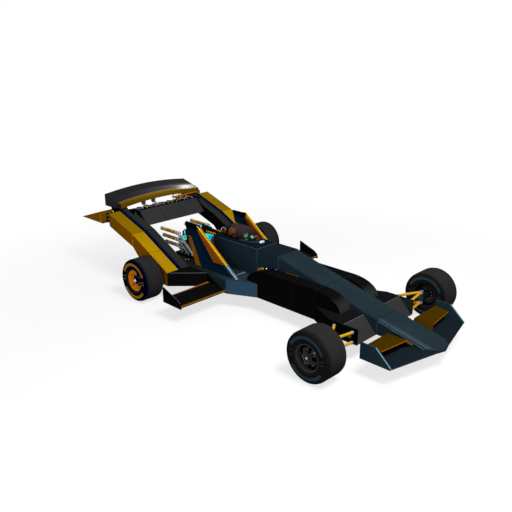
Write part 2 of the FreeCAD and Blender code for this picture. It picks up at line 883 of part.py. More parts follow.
def tyre(width):
    """A slick tyre about the Y axis, centred on its own width."""
    half = width / 2
    bead = rim_radius + tyre_seat_gap
    crown = tyre_radius - tyre_shoulder
    right = [Vector(bead, half - rim_lip, 0), Vector(bead + tyre_lip_width, half, 0)]
    for number in range(shoulder_band_count + 1):
        angle = math.pi / 2 / shoulder_band_count * number
        right.append(Vector(crown + tyre_shoulder * math.sin(angle),
                            half - tyre_shoulder + tyre_shoulder * math.cos(angle), 0))
    left = [Vector(point.x, -point.y, 0) for point in right[::-1]]
    return face_of(right + left).revolve(Vector(0, 0, 0), Y_AXIS, 360)


clamp_count = 3


def rim(width):
    """A wheel rim about the Y axis: barrel, sunk disc, hub, clamp arms and nut; the outer face is at +Y."""
    half = width / 2 - rim_lip
    inside = rim_radius - rim_wall
    hub_start = -width / 2
    bore = spindle_radius + spindle_fit
    disc = half - dish_inset
    nut_face = disc + wheel_nut_length
    outline = ((bore, hub_start), (hub_radius, hub_start), (hub_radius, disc - dish_thickness),
               (inside, disc - dish_thickness), (inside, -half), (rim_radius, -half), (rim_radius, half),
               (inside, half), (inside, disc), (wheel_nut_radius, disc), (wheel_nut_radius, nut_face),
               (0, nut_face), (0, disc), (bore, disc))
    shape = face_of([Vector(radius, place, 0) for radius, place in outline])
    shape = shape.revolve(Vector(0, 0, 0), Y_AXIS, 360)
    for number in range(clamp_count):
        arm = Part.makeBox(clamp_length, clamp_thickness, clamp_width, Vector(0, disc, -clamp_width / 2))
        arm.rotate(Vector(0, 0, 0), Y_AXIS, 360 / clamp_count * (number + 1 / 4))
        shape = shape.fuse(arm)
    return shape.removeSplitter()


def placed_wheel(shape, axle_share, half_track, side):
    """A wheel piece set on its axle."""
    piece = shape.copy()
    piece.translate(Vector(along(axle_share), half_track, tyre_radius))
    return on_side(piece, side)


def rear_axle():
    """Axle stubs that stand out of the booms and carry the rear wheels."""
    outer = across(boom_outer_share)
    start = Vector(along(rear_axle_share), outer, tyre_radius)
    collar = Part.makeCylinder(stub_radius, rear_wheel_gap - bearing_gap, start, Y_AXIS)
    spindle = Part.makeCylinder(spindle_radius, half_track_rear - outer, start, Y_AXIS)
    return collar.fuse(spindle).removeSplitter()


def main():
    os.makedirs("parts", exist_ok=True)
    save("spine", spine())
    save("nose_cone", nose_cone())
    save("front_wing", front_wing())
    save("front_endplates", front_endplate(), mirrored(front_endplate()))
    save("front_flaps", front_flap(), mirrored(front_flap()))
    save("cockpit_tub", cockpit_tub())
    save("canopy_glass", canopy_glass())
    save("canopy_frame", canopy_frame())
    save("canopy_hoop", canopy_hoop())
    save("rear_fairing", rear_fairing())
    save("seat", seat())
    save("dashboard", dashboard())
    save("steering_wheel", steering_wheel())
    save("rear_deck", rear_deck())
    save("engine_block", engine_block())
    save("rear_panel", rear_panel())
    save("rear_wing", rear_wing())
    save("rear_wing_lip", rear_wing_lip())
    save("rear_axle", rear_axle(), mirrored(rear_axle()))
    save("tail_wedges", tail_wedge(), mirrored(tail_wedge()))
    save("side_boxes", side_box(), mirrored(side_box()))
    for name, side in SIDES:
        save("suspension_tub_" + name, on_side(suspension_tub(), side))
        save("sidepod_" + name, on_side(sidepod(), side))
        save("fin_" + name, on_side(fin(), side))
        save("exhaust_" + name, *[on_side(pipe, side) for pipe in exhaust()])
        save("boom_" + name, on_side(boom(), side))
        save("boom_liner_" + name, on_side(boom_liner(), side))
        save("winglet_" + name, on_side(winglet(), side))
        save("wishbones_" + name, *[on_side(arm, side) for arm in wishbones()])
        save("knuckle_" + name, on_side(knuckle(), side))
    axles = (("front", front_axle_share, half_track_front, front_tyre_width),
             ("rear", rear_axle_share, half_track_rear, rear_tyre_width))
    for axle, axle_share, half_track, width in axles:
        for name, side in SIDES:
            save("tyre_" + axle + "_" + name, placed_wheel(tyre(width), axle_share, half_track, side))
            save("rim_" + axle + "_" + name, placed_wheel(rim(width), axle_share, half_track, side))


main()
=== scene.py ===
import json
import math

import bmesh
import bpy
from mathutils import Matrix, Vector


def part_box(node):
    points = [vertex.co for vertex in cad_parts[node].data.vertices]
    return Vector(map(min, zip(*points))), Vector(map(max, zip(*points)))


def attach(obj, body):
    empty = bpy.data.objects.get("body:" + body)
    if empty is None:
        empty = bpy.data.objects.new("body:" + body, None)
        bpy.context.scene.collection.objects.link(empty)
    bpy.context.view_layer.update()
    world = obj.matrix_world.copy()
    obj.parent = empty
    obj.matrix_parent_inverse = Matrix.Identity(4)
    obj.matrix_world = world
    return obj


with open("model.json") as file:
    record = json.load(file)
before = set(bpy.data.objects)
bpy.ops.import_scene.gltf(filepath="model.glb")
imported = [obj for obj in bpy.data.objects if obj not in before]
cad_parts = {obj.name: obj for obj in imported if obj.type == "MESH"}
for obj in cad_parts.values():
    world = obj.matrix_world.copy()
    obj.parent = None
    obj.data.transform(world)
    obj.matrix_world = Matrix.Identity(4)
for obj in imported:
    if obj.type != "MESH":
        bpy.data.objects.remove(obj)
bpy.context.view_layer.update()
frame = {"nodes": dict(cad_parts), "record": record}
NODES = frame["nodes"]

# The hull lies on a grid of bays along, rows across and tiers up, read from two pieces whose grid places are known.
SPINE_BAYS = 8
SPINE_FRONT_BAY = 0.5
POD_TIERS = 2
POD_LOW_TIER = 1
spine_low, spine_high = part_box("spine")
pod_low, pod_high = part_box("sidepod_left")
BAY = (spine_high.x - spine_low.x) / SPINE_BAYS
ROW = spine_high.y
TIER = (pod_high.z - pod_low.z) / POD_TIERS
FIRST_BAY = spine_high.x - BAY * SPINE_FRONT_BAY
FIRST_TIER = pod_low.z - TIER * POD_LOW_TIER


def at(x, y, z):
    """A place on the grid, in metres."""
    return Vector((FIRST_BAY + BAY * x, ROW * y, FIRST_TIER + TIER * z))


def centre_of(name):
    """Middle of a piece's box."""
    low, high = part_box(name)
    return (low + high) / 2


# Materials.
class Tree:
    """A short way to add and join the nodes of one material."""

    def __init__(self, owner):
        owner.use_nodes = True
        self.nodes = owner.node_tree.nodes
        self.links = owner.node_tree.links
        self.nodes.clear()
        self.kept = {}

    def add(self, kind, **values):
        node = self.nodes.new("ShaderNode" + kind)
        for key, value in values.items():
            setattr(node, key, value)
        return node

    def feed(self, socket, value):
        """Give a socket another socket's output, a number or a colour."""
        if isinstance(value, bpy.types.NodeSocket):
            self.links.new(value, socket)
        elif isinstance(value, tuple) and len(socket.default_value) == 4:
            socket.default_value = (*value, 1)
        else:
            socket.default_value = value

    def made(self, kind, inputs, output=0, **values):
        """An output of a new node, its inputs filled by name or number."""
        node = self.add(kind, **values)
        for key, value in inputs.items():
            self.feed(node.inputs[key], value)
        return node.outputs[output]

    def math(self, operation, *values):
        return self.made("Math", dict(enumerate(values)), operation=operation)

    def product(self, values):
        found = values[0]
        for value in values[1:]:
            found = self.math("MULTIPLY", found, value)
        return found

    def place(self):
        """Position in the row frame: the pieces' own coordinates."""
        if "place" not in self.kept:
            self.kept["place"] = self.add("TexCoord")
        return self.kept["place"].outputs["Object"]

    def parts(self, vector):
        """The three parts of a vector by axis."""
        split = self.add("SeparateXYZ")
        self.feed(split.inputs[0], vector)
        return dict(zip("xyz", split.outputs))

    def grid(self, axis):
        """A grid coordinate: x along, y across, z up, or w, the distance from the middle plane."""
        if "grid" not in self.kept:
            scale = (1 / BAY, 1 / ROW, 1 / TIER)
            shift = (-FIRST_BAY / BAY, 0, -FIRST_TIER / TIER)
            scaled = self.made("VectorMath", {0: self.place(), 1: scale, 2: shift}, operation="MULTIPLY_ADD")
            self.kept["grid"] = self.parts(scaled)
            self.kept["grid"]["w"] = self.math("ABSOLUTE", self.kept["grid"]["y"])
        return self.kept["grid"][axis]

    def normal(self, axis):
        """One part of the way the surface faces; w is outward from the middle plane."""
        if "normal" not in self.kept:
            self.place()
            parts = self.parts(self.kept["place"].outputs["Normal"])
            parts["w"] = self.math("MULTIPLY", parts["y"], self.math("SIGN", self.grid("y")))
            self.kept["normal"] = parts
        return self.kept["normal"][axis]

    def stretched(self, scale):
        """The place, stretched by a scale for each axis."""
        return self.made("Mapping", {"Vector": self.place(), "Scale": scale})

    def noise(self, scale, detail=4.0, place=None):
        return self.made("TexNoise", {"Scale": scale, "Detail": detail, "Vector": place or self.place()})

    def ranged(self, source, low, high, start=0.3, end=0.7):
        return self.made("MapRange", {"From Min": start, "From Max": end, "To Min": low, "To Max": high,
                                      "Value": source})

    def blended(self, factor, first, second):
        """Colours mixed by a factor."""
        return self.made("Mix", {0: factor, 6: first, 7: second}, 2, data_type="RGBA")

    def levelled(self, factor, first, second):
        """Numbers mixed by a factor."""
        return self.made("Mix", {0: factor, 2: first, 3: second}, data_type="FLOAT")

    def bump(self, height, strength, distance):
        return self.made("Bump", {"Strength": strength, "Distance": distance, "Height": height})


# Masks: each picks a part of a piece by its place on the grid and the way it faces.
def zone(facing=None, turn=0.5, **limits):
    """The places between limits of x, y, z or w that face a way such as +z or -x."""
    def mask(tree):
        found = []
        for axis, (low, high) in limits.items():
            found += [tree.math("GREATER_THAN", tree.grid(axis), low), tree.math("LESS_THAN", tree.grid(axis), high)]
        if facing:
            toward = tree.normal(facing[1])
            if facing[0] == "-":
                toward = tree.math("MULTIPLY", toward, -1.0)
            found.append(tree.math("GREATER_THAN", toward, turn))
        return tree.product(found)
    return mask


def within(points, **limits):
    """The places inside a convex outline of side view points that run anticlockwise, and inside a zone."""
    def mask(tree):
        found = []
        for (x, z), (next_x, next_z) in zip(points, points[1:] + points[:1]):
            run, rise = next_x - x, next_z - z
            part = tree.math("MULTIPLY_ADD", tree.grid("x"), -rise, rise * x - run * z)
            whole = tree.math("MULTIPLY_ADD", tree.grid("z"), run, part)
            found.append(tree.math("GREATER_THAN", whole, 0.0))
        return tree.product([*found, zone(**limits)(tree)])
    return mask


def faded(mask, axis, clear, full, lean=None):
    """A mask that fades along an axis from nothing at clear to whole at full, at places that may lean with height."""
    def soft(tree):
        along = tree.grid(axis)
        if lean:
            along = tree.math("MULTIPLY_ADD", tree.grid("z"), lean, along)
        level = tree.ranged(along, 0.0, 1.0, clear, full)
        return tree.math("MULTIPLY", mask(tree), level)
    return soft


def ring(axle, inner, outer, start=None, end=None, **limits):
    """A ring about a wheel's axle, whole or from one angle to another; radii in modules, angles in degrees."""
    def mask(tree):
        along = tree.math("SUBTRACT", tree.grid("x"), axle)
        rise = tree.math("SUBTRACT", tree.grid("z"), AXLE_TIER)
        reach = tree.math("SQRT", tree.math("MULTIPLY_ADD", along, along, tree.math("MULTIPLY", rise, rise)))
        found = [tree.math("GREATER_THAN", reach, inner), tree.math("LESS_THAN", reach, outer)]
        if start is not None:
            turn = tree.math("ARCTAN2", rise, along)
            found += [tree.math("GREATER_THAN", turn, math.radians(start)),
                      tree.math("LESS_THAN", turn, math.radians(end))]
        if limits:
            found.append(zone(**limits)(tree))
        return tree.product(found)
    return mask


BLOTCH_SCALE = 13.2
CLOUD_SCALE = 2.2


def finish_of(name, colour, roughness, spread=0.08, drift=0.12, grain_scale=260.0, grain=0.06, grain_depth=0.002,
              stretch=(1, 1, 1), metal=0.0, layers=(), **sockets):
    """A finish with a gentle drift of its colour, a varied roughness, a fine grain and painted layers."""
    material = bpy.data.materials.new(name)
    tree = Tree(material)
    shader = tree.add("BsdfPrincipled")
    blotches = tree.noise(BLOTCH_SCALE, 5.0, tree.stretched(stretch))
    inputs = {"Roughness": tree.ranged(blotches, roughness - spread, roughness + spread), "Metallic": metal}
    tint = colour
    for layer in layers:
        chosen = layer["mask"](tree)
        tint = tree.blended(chosen, tint, layer["colour"])
        for key, socket in (("rough", "Roughness"), ("metal", "Metallic")):
            if key in layer:
                inputs[socket] = tree.levelled(chosen, inputs[socket], layer[key])
        if "glow" in layer:
            light = tuple(channel * layer["glow"] for channel in layer["colour"])
            glow = inputs.get("Emission Color", (0.0, 0.0, 0.0))
            inputs |= {"Emission Color": tree.blended(chosen, glow, light), "Emission Strength": 1.0}
    cloud = tree.ranged(tree.noise(CLOUD_SCALE, 3.0), 1 - drift, 1 + drift)
    inputs["Base Color"] = tree.made("VectorMath", {0: tint, "Scale": cloud}, operation="SCALE")
    speckle = tree.noise(grain_scale, 2.0, tree.stretched(stretch))
    inputs["Normal"] = tree.bump(speckle, grain, grain_depth)
    for key, value in (inputs | sockets).items():
        tree.feed(shader.inputs[key.replace("_", " ")], value)
    output = tree.add("OutputMaterial")
    tree.feed(output.inputs["Surface"], shader.outputs[0])
    return material


# Finishes.
def paint(colour, roughness, **more):
    """Settings of a finish."""
    return dict(colour=colour, roughness=roughness, **more)


def matt(colour, roughness, **more):
    """Settings of a finish without a gloss."""
    return paint(colour, roughness, Specular_IOR_Level=0.0, **more)


def grey(level):
    return (level, level, level)


def coat(colour, facing=None, turn=0.5, fade=None, rough=None, metal=None, glow=None, **limits):
    """A painted layer on a zone; fade gives the axis and the places where it is clear and full."""
    mask = zone(facing, turn, **limits)
    if fade:
        mask = faded(mask, *fade)
    layer = dict(mask=mask, colour=colour, rough=rough, metal=metal, glow=glow)
    return {key: value for key, value in layer.items() if value is not None}


def joints(axis, places, colour, facing=None):
    """Narrow joints painted across a piece."""
    half = SEAM_WIDTH / 2
    return [coat(colour, facing, **{axis: (place - half, place + half)}) for place in places]


def tyre_layers(axle, outer, colour, shoulder, wall):
    """Painted shade on the shoulder, darker towards the outer edge, and on the side walls, with their coloured arcs,
    short marks and the line round the rim.
    """
    layers = [coat(shoulder, fade=("w", outer - 0.36, outer - 0.08), w=(4, 7))]
    for facing in ("+w", "-w"):
        layers.append(coat(wall, facing, 0.3))
        for inner, reach, spans in ((1.1, 1.29, TYRE_ARCS), (0.95, 1.2, TYRE_MARKS)):
            for start, end in spans:
                layers.append(dict(mask=ring(axle, inner, reach, start, end, facing=facing), colour=colour))
    layers.append(dict(mask=ring(axle, 0.82, 0.92, facing="+w"), colour=grey(0.013)))
    return layers


BLUE = (0.0165, 0.0335, 0.0475)
# A lighter blue for the deck's shoulder faces: painted light.
LIT_SHOULDER_BLUE = (0.028, 0.07, 0.112)
SEAM = (0.006, 0.012, 0.017)
BLACK = (0.0038, 0.0038, 0.0041)
# A navy for painted shade on the fin.
NAVY_SHADE = (0.0003, 0.0006, 0.04)
TEAL = (0.001, 0.0226, 0.047)
GOLD = (0.4, 0.225, 0.002)
DEEP_GOLD = (0.2, 0.08, 0.0004)
AMBER = (0.46, 0.14, 0.002)
# Bright dashes: marks on the boom, and a painted highlight on the tail wedges' upright edges.
BRIGHT_MARK_AND_EDGE_GLINT = (0.95, 0.36, 0.001)
ROD_END = (0.26, 0.28, 0.3)
CYAN = (0.0, 0.55, 0.6)
GREEN = (0.03, 0.42, 0.24)

FINISHES = {
    "blue_paint": matt(BLUE, 0.5),
    "black_paint": matt(BLACK, 0.5),
    "gold_paint": matt(GOLD, 0.5, drift=0.08),
    "grey_paint": matt((0.029, 0.029, 0.03), 0.6, drift=0.08),
    "steel": paint((0.3, 0.3, 0.31), 0.35, metal=0.6, stretch=(1, 8, 1)),
    "gold_metal": paint((0.52, 0.28, 0.003), 0.34, Specular_IOR_Level=0.15),
    "tyre": matt(grey(0.019), 0.85, grain_scale=420.0, grain=0.2),
    "rim_dark": paint((0.006, 0.006, 0.0065), 0.2, Specular_IOR_Level=0.15),
    "rim_gold": paint((0.8, 0.26, 0.001), 0.4, Specular_IOR_Level=0.03),
    "glass": matt((0.04, 0.012, 0.015), 0.1, spread=0.02, drift=0.05, grain_scale=9.0, grain=0.01, Alpha=0.37),
    "seat_leather": paint((0.36, 0.15, 0.02), 0.55, grain_scale=140.0, grain=0.25),
    "plastic": paint((0.015, 0.015, 0.016), 0.6),
}
OWN_FINISHES = {
    "rear_wing": dict(Specular_IOR_Level=0.035, roughness=0.25, spread=0.02),
    "rear_wing_lip": dict(Specular_IOR_Level=0.02, roughness=0.24, spread=0.02),
    "exhaust": dict(colour=(0.16, 0.16, 0.165), metal=0.45, Specular_IOR_Level=0.15),
    "knuckle": dict(colour=(0.004, 0.006, 0.022), metal=0.3, stretch=(1, 1, 1)),
}
AXLE_TIER = (centre_of("tyre_front_left").z - FIRST_TIER) / TIER
SEAM_WIDTH = 0.04
HULL_SEAMS = (0.5, -3.5, -7.5)
TYRE_ARCS = ((25, 156), (-145, -33))
TYRE_MARKS = ((171, 174), (-176, -173), (-3, 0), (7, 10))
FIN_TAIL_STRIPE = [(-14.4, 1.9), (-13.73, 1.9), (-14.81, 4.1), (-15.12, 4.1)]
FIN_FRONT_STRIPE = [(-12.44, 2.69), (-11.2, 2.69), (-14.2, 4.95), (-14.4, 4.95)]
FIN_SHADE_STRIPE = [(-12.85, 2.0), (-10.3, 2.0), (-14.2, 4.95), (-14.85, 4.95)]
FIN_PANEL = (2.2, 2.47)
FIN_EDGE = (2.47, 2.6)
FIN_GOLD_TIERS = (2.78, 5.2)
FIN_FOOT_TIERS = (1.9, 2.78)
PIPE_GOLD_BAYS = (-19.5, -17.75)

LAYERS = {
    # Painted shade: the spine's top is a darker blue than its sides.
    "spine": [coat((0.013, 0.0235, 0.03), "+z"), *joints("x", HULL_SEAMS, SEAM, "+z"),
              *joints("y", (0,), SEAM, "+z")],
    # Painted shade and highlight: the nose's top is a darker blue, with a lighter band along its rounded edge on the
    # -y side only.
    "nose_cone": [coat((0.014, 0.0235, 0.0305), "+z", 0.8),
                  coat((0.036, 0.062, 0.08), "+z", 0.8, ("y", -0.55, -0.98)), *joints("x", (0.5,), SEAM)],
    # Painted shade: the deck's top darkens towards the rear. Painted light: the outward faces of its front shoulder
    # are a lighter blue.
    "rear_deck": [coat((0.011, 0.013, 0.013), "+z", fade=("x", -10.2, -12.4)),
                  coat(LIT_SHOULDER_BLUE, "+w", x=(-10.6, -8.4), w=(1.9, 3.1)), *joints("w", (2,), SEAM, "+z")],
    # Painted shade: the coaming's top is a darker blue, darkest from the canopy's front backwards.
    "cockpit_tub": [coat((0.008, 0.014, 0.0175), "+z", 0.7, z=(3.9, 4.3)),
                    coat((0.0042, 0.0078, 0.0125), "+z", 0.7, x=(-18, -9.5), z=(3.9, 4.3)),
                    *joints("x", (-9.5,), SEAM),
                    coat((0.01, 0.009, 0.009), w=(0, 0.79), x=(-13.9, -8.05), z=(1.0, 3.9))],
    # Painted highlight: the pods' rounded front ends grow lighter towards the front.
    "sidepod": [*joints("x", (-5.45,), grey(0.011), "+w"), *joints("x", (-3.5,), grey(0.012)),
                coat((0.026, 0.025, 0.025), "+x", 0.3, ("x", -2.2, -1.5), z=(2.0, 3.1))],
    "suspension_tub": [coat(BLACK, "+w"), coat((0.006, 0.006, 0.0065), "+z", 0.9), coat(BLACK, "+x", 0.9)],
    # Painted shade: the boom's outward sides are a darker, redder gold than its top.
    "boom": [coat((0.36, 0.2, 0.001), "+z", 0.3), coat((0.225, 0.122, 0.0008), "+z", 0.3, x=(-23, -18.5)),
             coat((0.325, 0.112, 0.0003), "+w"), *joints("x", (-16.5, -18.5), DEEP_GOLD),
             *[coat(BRIGHT_MARK_AND_EDGE_GLINT, "+w", x=(-18.58, -18.48), z=span) for span in ((3.76, 4.16), (3.16, 3.58))]],
    # Painted shade: teal, then navy, darkens the liner's top towards the gold boom.
    "boom_liner": [coat((0.022, 0.022, 0.023), "+z", 0.2),
                   coat((0.0008, 0.012, 0.02), "+z", 0.2, ("w", 3.55, 3.72)),
                   coat((0.0002, 0.0004, 0.026), "+z", 0.2, ("w", 3.72, 3.85)), *joints("x", (-18.5,), grey(0.002))],
    "fin": [coat(TEAL, w=FIN_PANEL, x=(-16, -10)),
            # Painted shade: a navy band fades in over the teal panel along the fin's front stripe.
            dict(mask=faded(faded(within(FIN_SHADE_STRIPE, w=FIN_PANEL), "z", 2.2, 3.1), "x", -11.5, -10.3, 0.678),
                 colour=NAVY_SHADE),
            dict(mask=within(FIN_FRONT_STRIPE, w=FIN_PANEL), colour=(0.38, 0.115, 0.0012)),
            dict(mask=within(FIN_TAIL_STRIPE, w=FIN_PANEL), colour=(0.37, 0.13, 0.004)),
            coat((0.58, 0.11, 0.0005), "+w", w=FIN_EDGE, z=FIN_GOLD_TIERS),
            coat((0.5, 0.1, 0.0005), "-w", w=(2.2, 2.28), z=FIN_GOLD_TIERS),
            coat((0.36, 0.18, 0.001), "+x", 0.3, z=FIN_GOLD_TIERS),
            coat((0.03, 0.06, 0.08), "+w", w=FIN_EDGE, z=FIN_FOOT_TIERS),
            coat((0.08, 0.135, 0.165), "+x", 0.3, z=FIN_FOOT_TIERS),
            coat((0.001, 0.002, 0.004), fade=("z", 4.45, 4.8), w=(2.2, 2.6), x=(-15.3, -13.95))],
    # Painted sheen: the black top grows lighter from the -y end towards the +y side and bluish towards its front
    # edge; its rougher rear part keeps a middle grey.
    "rear_wing": [coat((0.003, 0.0034, 0.005), "+z", 0.3), coat((0.03, 0.031, 0.034), "+z", 0.3, ("y", -2.6, 1.2)),
                  coat((0.012, 0.012, 0.013), "+z", 0.3, ("x", -22.1, -22.7), rough=0.8),
                  coat((0.001, 0.006, 0.024), "+z", 0.3, ("x", -22.3, -21.7))],
    # Painted highlight: the lip grows lighter towards its top.
    "rear_wing_lip": [coat((0.115, 0.06, 0.0004), x=(-22, -21)),
                      coat((0.19, 0.105, 0.0008), fade=("z", 5.5, 5.9), x=(-22, -21))],
    # Painted shade: the wing's top is a darker blue.
    "front_wing": [coat((0.0065, 0.0115, 0.015), "+z")],
    "winglet": [coat(DEEP_GOLD, "+z", x=span, w=(3, 6.9)) for span in ((-10.66, -10.4), (-12.6, -12.28))],
    # Painted highlight: the endplates' front faces are a pale blue.
    "front_endplates": [coat((0.105, 0.2, 0.26), "+x", 0.2)],
    # Painted highlight: the amber on the flaps' front faces.
    "front_flaps": [coat((0.04, 0.0205, 0.0003), "+z", 0.2), coat(AMBER, "+x", 0.6)],
    # Painted sheen: the glass grows lighter towards its top.
    "canopy_glass": [coat((0.07, 0.045, 0.047), fade=("z", 4.15, 4.75), z=(3.9, 6)),
                     coat((0.045, 0.008, 0.011), fade=("x", -11.4, -10.5), z=(3.9, 6))],
    "canopy_frame": [coat((0.035, 0.09, 0.115), "+w", 0.1, x=(-11.6, -10.15)),
                     coat((0.5, 0.64, 0.74), x=(-10.12, -9.8), rough=0.3, metal=0.55)],
    # Painted light: a blue glow fading across the block round the cyan lamp stands for the lamp's light on it.
    "engine_block": [coat((0.0, 0.03, 0.085), fade=("x", -14.9, -15.8), x=(-16.4, -14.6), w=(0, 1), z=(2.5, 3.74),
                          glow=0.6),
                     coat(CYAN, fade=("x", -15.46, -15.6), x=(-16.24, -15.4), w=(0, 0.37), z=(2.9, 3.62), glow=1.5),
                     coat((0.42, 0.24, 0.002), x=(-15.4, -13.9), w=(0.26, 0.44), z=(3.74, 3.95)),
                     coat(AMBER, "+x", x=(-16.4, -16.3), z=(3.35, 3.5))],
    # Painted highlight and shade: the tail pipes' tops are bright yellow near the tips and their undersides are dark.
    "exhaust": [coat((0.34, 0.165, 0.001), x=PIPE_GOLD_BAYS, metal=0.0),
                coat((0.62, 0.4, 0.002), "+z", 0.3, x=(-19.5, -18.9), metal=0.0),
                coat((0.1, 0.07, 0.06), "-z", 0.2, x=PIPE_GOLD_BAYS, metal=0.0),
                coat((0.15, 0.16, 0.18), "+z", 0.25, x=PIPE_GOLD_BAYS, z=(2.3, 2.8))],
    "rear_panel": [*joints("w", (1,), grey(0.012)), coat(grey(0.002), w=(2.86, 3.1)),
                   coat(grey(0.004), x=(-21.1, -20.52), z=(4.95, 5.1))],
    # Painted shade: the wedges' outward sides and front faces are a darker, redder gold. Painted highlight: the
    # bright dashes stand for the glint on the wedge's upright edge.
    "tail_wedges": [coat((0.34, 0.125, 0.0004), "+w"), coat((0.16, 0.07, 0.0005), "+x", 0.6),
                    *[coat(BRIGHT_MARK_AND_EDGE_GLINT, "+w", x=(-22.8, -22.7), z=span)
                      for span in ((4.8, 4.95), (4.42, 4.68), (4.05, 4.32))]],
    "wishbones": [coat(ROD_END, w=span, metal=0.4, rough=0.3) for span in ((4.68, 5.0), (3.0, 3.1))],
    # The shoulder and wall colours are painted shade; the rear tyre's teal and navy are tints of that shade.
    "tyre_front": tyre_layers(0, 6.9, (0.021, 0.05, 0.068), (0.0075, 0.0072, 0.007), (0.0095, 0.009, 0.0082)),
    "tyre_rear": tyre_layers(-16, 6.827, (0.4, 0.2, 0.003), (0.0012, 0.007, 0.01), (0.0004, 0.0005, 0.015)),
    "rim_front": [dict(mask=ring(0, 0.755, 0.83, facing="+w"), colour=(0.01, 0.01, 0.0105)),
                  # Painted light: the grey band inside the rim's lip.
                  dict(mask=ring(0, 0.74, 0.78, w=(6.3, 6.86)), colour=(0.07, 0.07, 0.072), rough=0.5)],
    # Painted shade: navy on the lip ring and on the middle of the rim.
    "rim_rear": [dict(mask=ring(-16, 0.755, 0.83), colour=(0.003, 0.004, 0.02)),
                 dict(mask=ring(-16, 0.0, 0.55), colour=(0.001, 0.002, 0.026), metal=0.0)],
    "dashboard": [coat(GREEN, "-x", 0.2, w=(0, 0.2), z=(4.1, 4.42), glow=2.0)],
}
# Lighter colours for the rounded edges: painted highlights.
EDGE_HIGHLIGHTS = {
    "blue_paint": (0.05, 0.09, 0.115), "black_paint": (0.022, 0.022, 0.023), "gold_paint": (0.52, 0.31, 0.004),
    "grey_paint": (0.06, 0.06, 0.062),
}
SLOTS = {part["node"]: part["material_slot"] for part in frame["record"]["subparts"]}
MADE = {}


def made_once(key, **settings):
    """A finish, made when it is first asked for."""
    if key not in MADE:
        MADE[key] = finish_of(key, **settings)
    return MADE[key]


def finish_for(name):
    """The node's finish: its slot's, with the node's own painted layers."""
    slot = SLOTS[name]
    stem = name.removesuffix("_left").removesuffix("_right")
    key = stem if stem in LAYERS or stem in OWN_FINISHES else slot
    return made_once(key, layers=LAYERS.get(stem, ()), **(FINISHES[slot] | OWN_FINISHES.get(stem, {})))


def eased(owner, name, width, degrees):
    """Round the edges that turn by more than an angle."""
    edge = owner.modifiers.new(name, "BEVEL")
    edge.width = width
    edge.segments = 2
    edge.limit_method = "ANGLE"
    edge.angle_limit = math.radians(degrees)
    return edge


EDGE_WIDTH = 0.005
EDGE_DEGREES = 25
FLAT_DEGREES = 1
ROUND_NODES = ("tyre_", "rim_", "canopy_glass", "canopy_hoop", "rear_fairing", "wishbones_", "knuckle_",
               "steering_wheel", "exhaust_", "rear_axle", "seat", "engine_block", "canopy_frame")


def soften_edges(node, slot):
    """Join the flat faces of a piece, round its edges a little and paint the rounded edges lighter, a painted
    highlight.
    """
    flat = node.modifiers.new("flat faces", "DECIMATE")
    flat.decimate_type = "DISSOLVE"
    flat.angle_limit = math.radians(FLAT_DEGREES)
    edge = eased(node, "soft edges", EDGE_WIDTH, EDGE_DEGREES)
    edge.use_clamp_overlap = True
    if slot in EDGE_HIGHLIGHTS:
        node.data.materials.append(made_once(slot + "_edge", **matt(EDGE_HIGHLIGHTS[slot], 0.4)))
        edge.material = 1


for name, node in NODES.items():
    node.data.materials.clear()
    node.data.materials.append(finish_for(name))
    if not name.startswith(ROUND_NODES):
        soften_edges(node, SLOTS[name])


# Added pieces.
SIDES = (("left", 1), ("right", -1))


def angles_to(end, steps):
    """Even angles from nothing to an end."""
    return [end / steps * number for number in range(steps + 1)]


def rectangle(first, second):
    """Corners between two spans, in turn."""
    return [(first[0], second[0]), (first[1], second[0]), (first[1], second[1]), (first[0], second[1])]


def linked(name, data):
    """A new object in the scene."""
    made = bpy.data.objects.new(name, data)
    bpy.context.scene.collection.objects.link(made)
    return made


